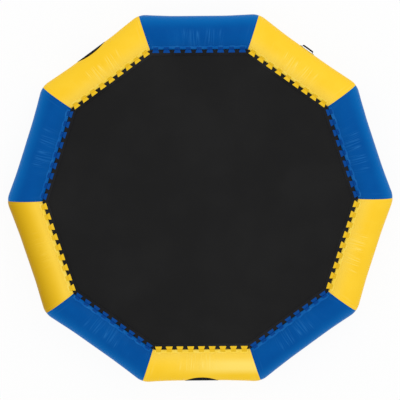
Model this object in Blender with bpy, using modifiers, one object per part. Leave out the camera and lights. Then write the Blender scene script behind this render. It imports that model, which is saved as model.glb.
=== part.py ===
"""Ten-sided inflatable water bouncer, in metres, +Z up, standing on its tube.

Each side has its own frame: X points out from the middle of the ring, Y runs along the side and
Z points up. A point along a side is given by its share of the way from mid-side to the corner.
"""

import math

import bmesh
import bpy
from mathutils import Matrix, Vector

# Ring and tube
SIDES = 10
RING_DIAMETER = 4.572
TUBE_DIAMETER = 0.480
TUBE_FACETS = 16
PVC_WALL = 0.0009
SIDE_BOW = 0.023
SEAM_NECK = 0.017
BOW_FLAT_SHARE = 0.45
SHOULDER_SHARE = 0.90
FIT = 0.0003

# Welded seams between the tube's segments
SEAM_LAP = 0.035
SEAM_JOGGLE = 0.005
LAP_PLAY = 0.0004

# Lacing between the tube and the mat
LACING_PITCH = 0.127
LACING_END_MARGIN = 0.020
LACING_FACET = 6
HEM_ROOT_SHARE = 0.625
HEM_FLANGE = 0.058
HEM_THICKNESS = 0.0016
HEM_END_REACH = 0.012
TAB_REACH = 0.015
TAB_ROOT_WIDTH = 0.050
TAB_END_WIDTH = 0.074
TAB_WALL = 0.0015
ROPE_DIAMETER = 0.012
ROPE_PLAY = 0.0004
ROPE_RISE = 0.0035
ROPE_CORNER_RADIUS = 0.045
LOOP_WIDTH = 0.050
LOOP_RAMP = 0.020
LOOP_SIDES = 6
BAND_WIDTH = 0.060
BAND_THICKNESS = 0.004
BAND_TAB_GAP = 0.001

# Bounce mat
MAT_THICKNESS = 0.003

# Metal rings on webbing keepers
RING_BAR_LENGTH = 0.056
RING_DROP = 0.040
RING_WIRE = 0.006
RING_ARC_POINTS = 7
KEEPER_LENGTH = 0.034
KEEPER_HEIGHT = 0.0085
KEEPER_WALL = 0.0028
BAR_PLAY = 0.0006
PATCH_THICKNESS = 0.002
ANCHOR_PATCH_LENGTH = 0.160
ANCHOR_PATCH_WIDTH = 0.080
PATCH_CORNER = 0.018
ANCHOR_FACET = 10
PAD_RING_FACET = 15

# Rounded pads on the outer flank
PAD_WIDTH = 0.416
PAD_HEIGHT = 0.290
PAD_CENTRE_DROP = 0.023
PAD_THICKNESS = 0.002
PAD_SEGMENTS = 32

# Grab handle on the outer flank
HANDLE_PATCH_LENGTH = 0.206
HANDLE_PATCH_WIDTH = 0.072
HANDLE_BAR_LENGTH = 0.128
HANDLE_FOOT = 0.020
HANDLE_SLOPE = 0.012
HANDLE_STAND_OFF = 0.028
STRAP_WIDTH = 0.025
STRAP_THICKNESS = 0.003
SLEEVE_LENGTH = 0.110
SLEEVE_WALL = 0.0032
SLEEVE_PLAY = 0.0004
SLEEVE_ROUND = 0.002

# Inflation valve
VALVE_FACET = 14
VALVE_OFFSET = 0.150
VALVE_FLANGE_RADIUS = 0.036
VALVE_FLANGE_THICKNESS = 0.0025
VALVE_BARREL_RADIUS = 0.021
VALVE_BARREL_DEPTH = 0.022
VALVE_NECK_RADIUS = 0.024
VALVE_NECK_HEIGHT = 0.010
VALVE_BORE_RADIUS = 0.016
VALVE_WEB_DEPTH = 0.011
VALVE_WEB_THICKNESS = 0.003
VENT_COUNT = 4
VENT_RADIUS = 0.003
VENT_CIRCLE_RADIUS = 0.0085
STEM_RADIUS = 0.0028
STEM_PLAY = 0.0004
POPPET_RADIUS = 0.0135
POPPET_THICKNESS = 0.002
POPPET_TRAVEL = 0.005
BUTTON_RADIUS = 0.006
BUTTON_HEIGHT = 0.003
BUTTON_LEVEL = 0.001
SPRING_RADIUS = 0.0045
SPRING_WIRE = 0.0012
SPRING_TURNS = 3
SPRING_POINTS_A_TURN = 8
GASKET_THICKNESS = 0.002
GASKET_WIDTH = 0.006
CAP_WALL = 0.003
CAP_PLAY = 0.0005
CAP_SKIRT_GAP = 0.001
CAP_BAR_LENGTH = 0.040
CAP_BAR_SIZE = 0.006
TURNED_STEPS = 20

# Overrun of a cutter past what it cuts, and the unit that a measured gap is printed in
OVERRUN = 0.010
MILLIMETRE = 0.001

# Which sides carry what, counted from the +X corner
YELLOW_SIDES = (1, 3, 5, 7, 9)
BLUE_SIDES = (0, 2, 4, 6, 8)
HANDLE_SIDE = 1
PAD_SIDES = (3, 7)
VALVE_SIDE = 9

# Worked out from the sizes above
SIDE_ANGLE = math.tau / SIDES
HALF_CORNER = SIDE_ANGLE / 2
MITRE = math.tan(HALF_CORNER)
TUBE_RADIUS = TUBE_DIAMETER / 2
FACET_STEP = math.tau / TUBE_FACETS
FLAT_RADIUS = TUBE_RADIUS * math.cos(FACET_STEP / 2)
AXIS_HEIGHT = FLAT_RADIUS


def flank_weight(angle):
    """How far a point round the tube takes part in the bow and the neck, which work on the outer half."""
    return max(0.0, math.cos(angle)) ** 2


SEAM_REACH = (TUBE_RADIUS - SEAM_NECK * flank_weight(FACET_STEP / 2)) * math.cos(FACET_STEP / 2)
AXIS_APOTHEM = RING_DIAMETER / 2 * math.cos(HALF_CORNER) - SEAM_REACH
SHOULDER_SPAN = (1 - SHOULDER_SHARE) * AXIS_APOTHEM * MITRE


def clear_scene():
    """Remove every object of the open scene."""
    for old in list(bpy.data.objects):
        bpy.data.objects.remove(old, do_unlink=True)


def new_collection(name):
    """Add a collection to the scene."""
    made = bpy.data.collections.new(name)
    bpy.context.scene.collection.children.link(made)
    return made


def new_material(name, colour, roughness, metallic=0.0):
    """Make a plain material from a colour in linear RGB."""
    made = bpy.data.materials.new(name)
    made.use_nodes = True
    shader = made.node_tree.nodes["Principled BSDF"]
    shader.inputs["Base Color"].default_value = (*colour, 1.0)
    shader.inputs["Roughness"].default_value = roughness
    shader.inputs["Metallic"].default_value = metallic
    return made


clear_scene()
PARTS = new_collection("water_bouncer")
CUTTERS = new_collection("cutters")

PVC_YELLOW = new_material("pvc_yellow", (0.95, 0.61, 0.04), 0.35)
PVC_BLUE = new_material("pvc_blue", (0.006, 0.085, 0.33), 0.35)
WEBBING = new_material("webbing_black", (0.012, 0.012, 0.013), 0.85)
MAT_WEAVE = new_material("mat_black", (0.016, 0.016, 0.017), 0.9)
ROPE_BRAID = new_material("rope_black", (0.013, 0.013, 0.014), 0.8)
PAD_RUBBER = new_material("pad_black", (0.008, 0.008, 0.009), 0.7)
STAINLESS = new_material("stainless", (0.62, 0.63, 0.64), 0.25, 1.0)
VALVE_PLASTIC = new_material("valve_plastic", (0.02, 0.02, 0.022), 0.45)
GASKET_RUBBER = new_material("gasket_rubber", (0.015, 0.015, 0.016), 0.8)


def add_object(name, data, material, collection=PARTS):
    """Put a mesh or a curve in the scene, with the material on the object."""
    made = bpy.data.objects.new(name, data)
    collection.objects.link(made)
    if not data.materials:
        data.materials.append(None)
    made.material_slots[0].link = "OBJECT"
    made.material_slots[0].material = material
    return made


def mesh_from(bm, name, smooth_angle=math.radians(30)):
    """Turn a bmesh into a mesh that is smooth over its shallow edges."""
    mesh = bpy.data.meshes.new(name)
    bm.to_mesh(mesh)
    bm.free()
    mesh.shade_smooth()
    mesh.set_sharp_from_angle(angle=smooth_angle)
    return mesh


def as_cutter(obj):
    """Show an object as a wire helper that no render takes in."""
    obj.hide_render = True
    obj.display_type = "WIRE"
    return obj


def cut(obj, cutter, operation="DIFFERENCE"):
    """Add an exact Boolean."""
    modifier = obj.modifiers.new(cutter.name, "BOOLEAN")
    modifier.object = cutter
    modifier.operation = operation
    return modifier


def baked_mesh(obj, name):
    """The object's evaluated mesh, as a mesh of its own, and the object removed."""
    bpy.context.view_layer.update()
    evaluated = obj.evaluated_get(bpy.context.evaluated_depsgraph_get())
    mesh = bpy.data.meshes.new_from_object(evaluated)
    mesh.name = name
    bpy.data.objects.remove(obj, do_unlink=True)
    return mesh


def side_turn(side):
    """Angle of a side's outward direction about Z."""
    return side * SIDE_ANGLE + HALF_CORNER


def facet_normal(facet):
    """Direction of a tube facet's face in the side frame, facet 0 being the outermost."""
    angle = facet * FACET_STEP
    return Vector((math.cos(angle), 0.0, math.sin(angle)))


def tube_point(angle, share, inset=0.0):
    """A point of the tube's skin at an angle round it and a share along the side."""
    bow = SIDE_BOW if abs(share) <= BOW_FLAT_SHARE else 0.0
    neck = SEAM_NECK if abs(share) > SHOULDER_SHARE else 0.0
    radius = TUBE_RADIUS - inset - neck * flank_weight(angle)
    apothem = AXIS_APOTHEM + radius * math.cos(angle) - bow * flank_weight(angle)
    return Vector((apothem, share * apothem * MITRE, AXIS_HEIGHT + radius * math.sin(angle)))


def facet_corner(index):
    """Angle of the corner between a facet and the next one."""
    return (index + 0.5) * FACET_STEP


def ring(share, inset=0.0):
    """The tube's corners round one cross-section."""
    return [tube_point(facet_corner(i), share, inset) for i in range(TUBE_FACETS)]


def ring_off_seam(distance, end, inset=0.0):
    """A cross-section this far from the seam, on the straight run between the seam and the shoulder."""
    share = distance / SHOULDER_SPAN
    seam = ring(end, inset)
    shoulder = ring(end * SHOULDER_SHARE, inset)
    return [first.lerp(second, share) for first, second in zip(seam, shoulder)]


def turned_to_neighbour(points, end):
    """Points of the neighbouring side's frame, given in this side's frame."""
    turn = Matrix.Rotation(end * SIDE_ANGLE, 3, "Z")
    return [turn @ point for point in points]


def segment_rings(lapped):
    """Cross-sections of one tube segment, from its -Y end to its +Y end."""
    inner_shares = (-SHOULDER_SHARE, -BOW_FLAT_SHARE, BOW_FLAT_SHARE, SHOULDER_SHARE)
    body = [ring(share) for share in inner_shares]
    ends = []
    for end in (-1.0, 1.0):
        if lapped:
            under = PVC_WALL + LAP_PLAY
            lip = turned_to_neighbour(ring_off_seam(SEAM_LAP, -end, under), end)
            ends.append([lip, ring(end, under), ring_off_seam(SEAM_JOGGLE, end)])
        else:
            ends.append([ring_off_seam(FIT, end), ring_off_seam(SEAM_LAP, end)])
    return ends[0] + body + ends[1][::-1]


def loft(rings):
    """An open tube of quads through cross-sections, its faces pointing out."""
    bm = bmesh.new()
    rows = [[bm.verts.new(point) for point in points] for points in rings]
    for row, following in zip(rows, rows[1:]):
        for i in range(len(row)):
            j = (i + 1) % len(row)
            bm.faces.new((row[i], following[i], following[j], row[j]))
    return bm


def tube_segment(name, side, mesh, material):
    """One mitred segment of the inflated tube: a PVC skin, open into its neighbours."""
    made = add_object(name, mesh, material)
    made.rotation_euler.z = side_turn(side)
    skin = made.modifiers.new("pvc_wall", "SOLIDIFY")
    skin.thickness = PVC_WALL
    skin.offset = -1.0
    skin.use_even_offset = True
    return made


def prism(outline, start, end, name):
    """A solid of a side's cross-section, each end following its own rule for Y."""
    bm = bmesh.new()
    first = [bm.verts.new((x, start(x), z)) for x, z in outline]
    face = bm.faces.new(first)
    grown = bmesh.ops.extrude_face_region(bm, geom=[face])
    for vert in grown["geom"]:
        if isinstance(vert, bmesh.types.BMVert):
            vert.co.y = end(vert.co.x)
    bmesh.ops.recalc_face_normals(bm, faces=bm.faces)
    return mesh_from(bm, name)


def plan_prisms(outlines, low, high, name):
    """A cutter of upright prisms, one for each outline in X and Y."""
    bm = bmesh.new()
    for outline in outlines:
        face = bm.faces.new([bm.verts.new((x, y, low)) for x, y in outline])
        grown = bmesh.ops.extrude_face_region(bm, geom=[face])
        verts = [item for item in grown["geom"] if isinstance(item, bmesh.types.BMVert)]
        bmesh.ops.translate(bm, verts=verts, vec=(0.0, 0.0, high - low))
    bmesh.ops.recalc_face_normals(bm, faces=bm.faces)
    return as_cutter(add_object(name, mesh_from(bm, name), None, CUTTERS))


# Lacing line: the hem leaves the tube at a point of one facet, and the rope runs just inside it
LACING_TOP = tube_point(facet_corner(LACING_FACET - 1), 0.0)
LACING_FOOT = tube_point(facet_corner(LACING_FACET), 0.0)
LACING_NORMAL = facet_normal(LACING_FACET)
HEM_ROOT = LACING_TOP.lerp(LACING_FOOT, HEM_ROOT_SHARE) + LACING_NORMAL * FIT
HEM_UP = (LACING_TOP - LACING_FOOT).normalized()
ROPE_APOTHEM = HEM_ROOT.x - TAB_REACH
ROPE_HEIGHT = HEM_ROOT.z + ROPE_RISE
SIDE_HALF_LENGTH = ROPE_APOTHEM * MITRE
TAB_STEPS = int((SIDE_HALF_LENGTH - TAB_END_WIDTH / 2 - LACING_END_MARGIN) / LACING_PITCH)
TAB_PLACES = [step * LACING_PITCH for step in range(-TAB_STEPS, TAB_STEPS + 1)]
HEX_GROWTH = 1 / math.cos(math.pi / LOOP_SIDES)
BORE_FLAT = ROPE_DIAMETER / 2 + ROPE_PLAY
LOOP_FLAT = BORE_FLAT + TAB_WALL
LOOP_CORNER = LOOP_FLAT * HEX_GROWTH
TAB_END = ROPE_APOTHEM - LOOP_FLAT
BAND_EDGE = TAB_END - BAND_TAB_GAP
BAND_INNER = ROPE_APOTHEM - BAND_WIDTH
MAT_TOP = ROPE_HEIGHT + BAND_THICKNESS / 2


def lacing_bore(name):
    """Cutter for the rope's channel through a row of loops."""
    reach = SIDE_HALF_LENGTH + OVERRUN
    corners = [math.tau * (i + 0.5) / LOOP_SIDES for i in range(LOOP_SIDES)]
    radius = BORE_FLAT * HEX_GROWTH
    outline = [
        (ROPE_APOTHEM + radius * math.cos(a), ROPE_HEIGHT + radius * math.sin(a)) for a in corners
    ]
    mesh = prism(outline, lambda x: -reach, lambda x: reach, name)
    return as_cutter(add_object(name, mesh, None, CUTTERS))


def tab_half_width(apothem):
    """Half the width of a hem tab, which flares towards the mat."""
    share = (HEM_ROOT.x - apothem) / (HEM_ROOT.x - TAB_END)
    return (TAB_ROOT_WIDTH + (TAB_END_WIDTH - TAB_ROOT_WIDTH) * share) / 2


def hem_notches():
    """Cutter for the notches between the hem's tabs, and beyond the last ones."""
    near, far = HEM_ROOT.x, TAB_END - OVERRUN
    outlines = []
    for left, right in zip(TAB_PLACES, TAB_PLACES[1:]):
        outlines.append(
            [
                (near, left + tab_half_width(near)),
                (far, left + tab_half_width(far)),
                (far, right - tab_half_width(far)),
                (near, right - tab_half_width(near)),
            ]
        )
    beyond = SIDE_HALF_LENGTH + OVERRUN
    for sign in (-1, 1):
        last = TAB_PLACES[-1]
        outlines.append(
            [
                (near, sign * (last + tab_half_width(near))),
                (far, sign * (last + tab_half_width(far))),
                (far, sign * beyond),
                (near, sign * beyond),
            ]
        )
    low = ROPE_HEIGHT - LOOP_CORNER - OVERRUN
    high = ROPE_HEIGHT + LOOP_CORNER + OVERRUN
    return plan_prisms(outlines, low, high, "hem_notches")


def hem_mesh():
    """The welded hem of one side: a flange on the tube and the tabs that wrap the rope."""
    flange_low = HEM_ROOT + HEM_UP * HEM_FLANGE
    flange_high = flange_low + LACING_NORMAL * HEM_THICKNESS
    root_high = HEM_ROOT + LACING_NORMAL * HEM_THICKNESS
    half_corner = LOOP_CORNER / 2
    outline = [
        (flange_low.x, flange_low.z),
        (flange_high.x, flange_high.z),
        (root_high.x, root_high.z),
        (ROPE_APOTHEM, ROPE_HEIGHT + LOOP_CORNER),
        (TAB_END, ROPE_HEIGHT + half_corner),
        (TAB_END, ROPE_HEIGHT - half_corner),
        (ROPE_APOTHEM, ROPE_HEIGHT - LOOP_CORNER),
        (HEM_ROOT.x, HEM_ROOT.z),
    ]
    reach = TAB_PLACES[-1] + TAB_END_WIDTH / 2 + HEM_END_REACH
    mesh = prism(outline, lambda x: -reach, lambda x: reach, "hem_section")
    made = add_object("hem_blank", mesh, None)
    cut(made, lacing_bore("hem_bore"))
    cut(made, hem_notches())
    return baked_mesh(made, "lacing_hem")


def band_notches():
    """Cutter for the gaps between the mat's webbing loops, which clear the hem's tabs."""
    half_gap = (LACING_PITCH - LOOP_WIDTH) / 2
    near, far = BAND_EDGE, HEM_ROOT.x + OVERRUN
    beyond = SIDE_HALF_LENGTH + OVERRUN
    outlines = []
    for place in TAB_PLACES:
        low = -beyond if place == TAB_PLACES[0] else place - half_gap
        high = beyond if place == TAB_PLACES[-1] else place + half_gap
        outlines.append([(near, low), (far, low), (far, high), (near, high)])
    low = ROPE_HEIGHT - LOOP_CORNER - OVERRUN
    high = ROPE_HEIGHT + LOOP_CORNER + OVERRUN
    return plan_prisms(outlines, low, high, "band_notches")


def band_mesh():
    """The mat's border on one side: a doubled band with the webbing loops that wrap the rope."""
    half = BAND_THICKNESS / 2
    ramp = ROPE_APOTHEM - LOOP_RAMP
    outer = ROPE_APOTHEM + LOOP_FLAT
    outline = [
        (BAND_INNER, ROPE_HEIGHT - half),
        (BAND_INNER, ROPE_HEIGHT + half),
        (ramp, ROPE_HEIGHT + half),
        (ROPE_APOTHEM, ROPE_HEIGHT + LOOP_CORNER),
        (outer, ROPE_HEIGHT + LOOP_CORNER / 2),
        (outer, ROPE_HEIGHT - LOOP_CORNER / 2),
        (ROPE_APOTHEM, ROPE_HEIGHT - LOOP_CORNER),
        (ramp, ROPE_HEIGHT - half),
    ]
    mesh = prism(outline, lambda x: FIT - x * MITRE, lambda x: x * MITRE - FIT, "band_section")
    made = add_object("band_blank", mesh, None)
    cut(made, lacing_bore("band_bore"))
    cut(made, band_notches())
    return baked_mesh(made, "loop_band")


def lacing_rope():
    """The closed rope that every hem tab and every webbing loop wraps."""
    corner = ROPE_APOTHEM / math.cos(HALF_CORNER)
    tangent = ROPE_CORNER_RADIUS * MITRE
    arc_rise = ROPE_CORNER_RADIUS / math.cos(HALF_CORNER) - ROPE_CORNER_RADIUS
    points = []
    for index in range(SIDES):
        turn = index * SIDE_ANGLE
        for end in (-1, 1):
            along = SIDE_HALF_LENGTH - tangent
            centre = turn + end * HALF_CORNER
            out = Vector((math.cos(centre), math.sin(centre)))
            across = Vector((-math.sin(centre), math.cos(centre)))
            points.append(out * ROPE_APOTHEM - end * across * along)
            if end < 0:
                points.append(Vector((math.cos(turn), math.sin(turn))) * (corner - arc_rise))
    curve = bpy.data.curves.new("lacing_rope", "CURVE")
    curve.dimensions = "3D"
    curve.bevel_depth = ROPE_DIAMETER / 2
    curve.bevel_resolution = 1
    spline = curve.splines.new("POLY")
    spline.points.add(len(points) - 1)
    for item, point in zip(spline.points, points):
        item.co = (point.x, point.y, ROPE_HEIGHT, 1.0)
    spline.use_cyclic_u = True
    return add_object("lacing_rope", curve, ROPE_BRAID)


def bounce_mat():
    """The woven jumping surface, up to the inner edge of its border."""
    radius = (BAND_INNER - FIT) / math.cos(HALF_CORNER)
    bm = bmesh.new()
    bmesh.ops.create_cone(
        bm,
        cap_ends=True,
        segments=SIDES,
        radius1=radius,
        radius2=radius,
        depth=MAT_THICKNESS,
        matrix=Matrix.Rotation(HALF_CORNER, 4, "Z"),
    )
    made = add_object("bounce_mat", mesh_from(bm, "bounce_mat"), MAT_WEAVE)
    made.location.z = MAT_TOP - MAT_THICKNESS / 2
    return made


def facet_placing(facet, along=0.0):
    """Placing in the side frame of a facet's middle, with Z along its normal and Y along the side."""
    first = tube_point(facet_corner(facet - 1), 0.0)
    second = tube_point(facet_corner(facet), 0.0)
    middle = (first + second) / 2 + Vector((0.0, along, 0.0))
    slope = second - first
    tilt = math.atan2(slope.z, -slope.x)
    return Matrix.Translation(middle) @ Matrix.Rotation(tilt, 4, "Y")


def facet_frame(name, side, facet, along=0.0):
    """An empty on a facet of one side."""
    made = bpy.data.objects.new(name, None)
    PARTS.objects.link(made)
    made.matrix_world = Matrix.Rotation(side_turn(side), 4, "Z") @ facet_placing(facet, along)
    return made


def block_mesh(name, size, middle, rounding=0.0, round_axis=2, segments=3):
    """A box with the edges along one axis rounded."""
    bm = bmesh.new()
    bmesh.ops.create_cube(bm, size=1.0)
    bmesh.ops.scale(bm, verts=bm.verts, vec=size)
    if rounding:
        edges = []
        for edge in bm.edges:
            run = edge.verts[0].co - edge.verts[1].co
            if abs(run[round_axis]) > run.length / 2:
                edges.append(edge)
        bmesh.ops.bevel(bm, geom=edges, offset=rounding, segments=segments, affect="EDGES", profile=0.5)
    bmesh.ops.translate(bm, verts=bm.verts, vec=middle)
    return mesh_from(bm, name)


def rod_mesh(name, radius, length, middle, axis="Y", sides=10):
    """A straight rod along X, Y or Z."""
    turn = {"X": Matrix.Rotation(math.pi / 2, 4, "Y"), "Y": Matrix.Rotation(math.pi / 2, 4, "X")}
    bm = bmesh.new()
    bmesh.ops.create_cone(
        bm,
        cap_ends=True,
        segments=sides,
        radius1=radius,
        radius2=radius,
        depth=length,
        matrix=Matrix.Translation(middle) @ turn.get(axis, Matrix.Identity(4)),
    )
    return mesh_from(bm, name)


def helper(name, mesh, placing=None):
    """A wire helper that other pieces are cut or joined with."""
    made = as_cutter(add_object(name, mesh, None, CUTTERS))
    if placing is not None:
        made.matrix_world = placing
    return made


def add_keeper(obj, name, placing=None):
    """Join a webbing keeper onto a patch, with the channel that the ring's bar turns in."""
    bore = RING_WIRE / 2 + BAR_PLAY
    outer = bore + KEEPER_WALL
    base = FIT + PATCH_THICKNESS / 2
    rise = KEEPER_HEIGHT - base
    barrel = rod_mesh(name + "_barrel", outer, KEEPER_LENGTH, (0.0, 0.0, KEEPER_HEIGHT))
    size = (2 * bore, KEEPER_LENGTH - 2 * FIT, rise)
    web = block_mesh(name + "_web", size, (0.0, 0.0, base + rise / 2))
    channel = rod_mesh(name + "_channel", bore, KEEPER_LENGTH + OVERRUN, (0.0, 0.0, KEEPER_HEIGHT), sides=8)
    cut(obj, helper(name + "_barrel", barrel, placing), "UNION")
    cut(obj, helper(name + "_web", web, placing), "UNION")
    cut(obj, helper(name + "_channel", channel, placing))


def anchor_patch_mesh():
    """A rounded patch with a keeper on its middle, in the frame of its facet."""
    size = (ANCHOR_PATCH_WIDTH, ANCHOR_PATCH_LENGTH, PATCH_THICKNESS)
    middle = (0.0, 0.0, FIT + PATCH_THICKNESS / 2)
    blank = add_object("anchor_blank", block_mesh("anchor_plate", size, middle, PATCH_CORNER), None)
    add_keeper(blank, "anchor_keeper")
    return baked_mesh(blank, "anchor_patch")


def pad_mesh():
    """A rounded pad that wraps the outer flank, with a keeper below the tube's widest line."""
    corners = [facet_corner(index) for index in range(-3, 2)]
    inner = [tube_point(angle, 0.0, -FIT) for angle in corners]
    outer = [tube_point(angle, 0.0, -FIT - PAD_THICKNESS) for angle in corners]
    outline = [(point.x, point.z) for point in inner + outer[::-1]]
    reach = PAD_WIDTH / 2 + OVERRUN
    blank = add_object("pad_blank", prism(outline, lambda x: -reach, lambda x: reach, "pad_section"), None)
    middle = (outer[0].x, 0.0, AXIS_HEIGHT - PAD_CENTRE_DROP)
    oval = rod_mesh("pad_oval", 1.0, 1.0, (0.0, 0.0, 0.0), "X", PAD_SEGMENTS)
    shape = Matrix.Diagonal((TUBE_DIAMETER, PAD_WIDTH / 2, PAD_HEIGHT / 2, 1.0))
    cut(blank, helper("pad_oval", oval, Matrix.Translation(middle) @ shape), "INTERSECT")
    add_keeper(blank, "pad_keeper", facet_placing(PAD_RING_FACET))
    return baked_mesh(blank, "accessory_pad")


def ring_curve():
    """A D-shaped ring of round wire hanging from its bar, which lies on the hinge axis."""
    curve = bpy.data.curves.new("d_ring", "CURVE")
    curve.dimensions = "3D"
    curve.bevel_depth = RING_WIRE / 2
    curve.bevel_resolution = 1
    spline = curve.splines.new("POLY")
    spline.points.add(RING_ARC_POINTS - 1)
    for index, point in enumerate(spline.points):
        turn = math.pi * index / (RING_ARC_POINTS - 1)
        across = RING_BAR_LENGTH / 2 * math.cos(turn)
        point.co = (0.0, across, -RING_DROP * math.sin(turn), 1.0)
    spline.use_cyclic_u = True
    return curve


def hung_ring(name, side, facet, curve):
    """A ring in its keeper, hanging straight down."""
    made = add_object(name, curve, STAINLESS)
    turn = Matrix.Rotation(side_turn(side), 4, "Z")
    place = turn @ facet_placing(facet) @ Vector((0.0, 0.0, KEEPER_HEIGHT))
    made.matrix_world = Matrix.Translation(place) @ turn
    return made


def grab_handle(side):
    """The outer handle: a patch on the tube, a standing webbing strap and its grip sleeve."""
    frame = facet_frame("handle_frame", side, 0)
    size = (HANDLE_PATCH_WIDTH, HANDLE_PATCH_LENGTH, PATCH_THICKNESS)
    middle = (0.0, 0.0, FIT + PATCH_THICKNESS / 2)
    patch = add_object("handle_patch", block_mesh("handle_patch", size, middle, PATCH_CORNER), PAD_RUBBER)
    patch.parent = frame

    foot_level = FIT + PATCH_THICKNESS + FIT + STRAP_THICKNESS / 2
    half_bar = HANDLE_BAR_LENGTH / 2
    heel = half_bar + HANDLE_SLOPE
    half_path = [(half_bar, HANDLE_STAND_OFF), (heel, foot_level), (heel + HANDLE_FOOT, foot_level)]
    path = [(-along, level) for along, level in half_path[::-1]] + half_path
    bm = bmesh.new()
    left = [bm.verts.new((-STRAP_WIDTH / 2, along, level)) for along, level in path]
    right = [bm.verts.new((STRAP_WIDTH / 2, along, level)) for along, level in path]
    for i in range(len(path) - 1):
        bm.faces.new((left[i], right[i], right[i + 1], left[i + 1]))
    strap = add_object("handle_strap", mesh_from(bm, "handle_strap"), WEBBING)
    strap.parent = frame
    body = strap.modifiers.new("webbing", "SOLIDIFY")
    body.thickness = STRAP_THICKNESS
    body.offset = 0.0
    body.use_even_offset = True

    bore_size = (STRAP_WIDTH + 2 * SLEEVE_PLAY, SLEEVE_LENGTH + OVERRUN, STRAP_THICKNESS + 2 * SLEEVE_PLAY)
    sleeve_size = (bore_size[0] + 2 * SLEEVE_WALL, SLEEVE_LENGTH, bore_size[2] + 2 * SLEEVE_WALL)
    centre = (0.0, 0.0, HANDLE_STAND_OFF)
    mesh = block_mesh("handle_sleeve", sleeve_size, centre, SLEEVE_ROUND, 1, 2)
    sleeve = add_object("handle_sleeve", mesh, PAD_RUBBER)
    sleeve.parent = frame
    bore = helper("sleeve_bore", block_mesh("sleeve_bore", bore_size, centre))
    bore.parent = frame
    cut(sleeve, bore)


def turned(name, profile, material, frame, closed):
    """A turned piece about the frame's Z, its profile running down the outer side."""
    bm = bmesh.new()
    verts = [bm.verts.new((radius, 0.0, height)) for radius, height in profile]
    for first, second in zip(verts, verts[1:]):
        bm.edges.new((first, second))
    if closed:
        bm.edges.new((verts[-1], verts[0]))
    mesh = bpy.data.meshes.new(name)
    bm.to_mesh(mesh)
    bm.free()
    made = add_object(name, mesh, material)
    made.parent = frame
    screw = made.modifiers.new("turn", "SCREW")
    screw.steps = TURNED_STEPS
    screw.render_steps = TURNED_STEPS
    screw.use_merge_vertices = True
    screw.merge_threshold = FIT / 10
    return made


def valve_spring(frame, low, high):
    """The poppet's return spring, drawn at its pressed length on the web of the valve."""
    count = SPRING_TURNS * SPRING_POINTS_A_TURN
    curve = bpy.data.curves.new("valve_spring", "CURVE")
    curve.dimensions = "3D"
    curve.bevel_depth = SPRING_WIRE / 2
    curve.bevel_resolution = 1
    curve.use_fill_caps = True
    spline = curve.splines.new("POLY")
    spline.points.add(count)
    for index, point in enumerate(spline.points):
        turn = math.tau * index / SPRING_POINTS_A_TURN
        rise = low + (high - low) * index / count
        point.co = (SPRING_RADIUS * math.cos(turn), SPRING_RADIUS * math.sin(turn), rise, 1.0)
    centres = [point.co.xyz for point in spline.points]
    least = min(
        (far - near).length
        for index, near in enumerate(centres)
        for far in centres[index + SPRING_POINTS_A_TURN // 2 :]
    )
    print(f"valve_spring: least gap to itself {(least - SPRING_WIRE) / MILLIMETRE:.2f} mm")
    made = add_object("valve_spring", curve, STAINLESS)
    made.parent = frame


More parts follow.
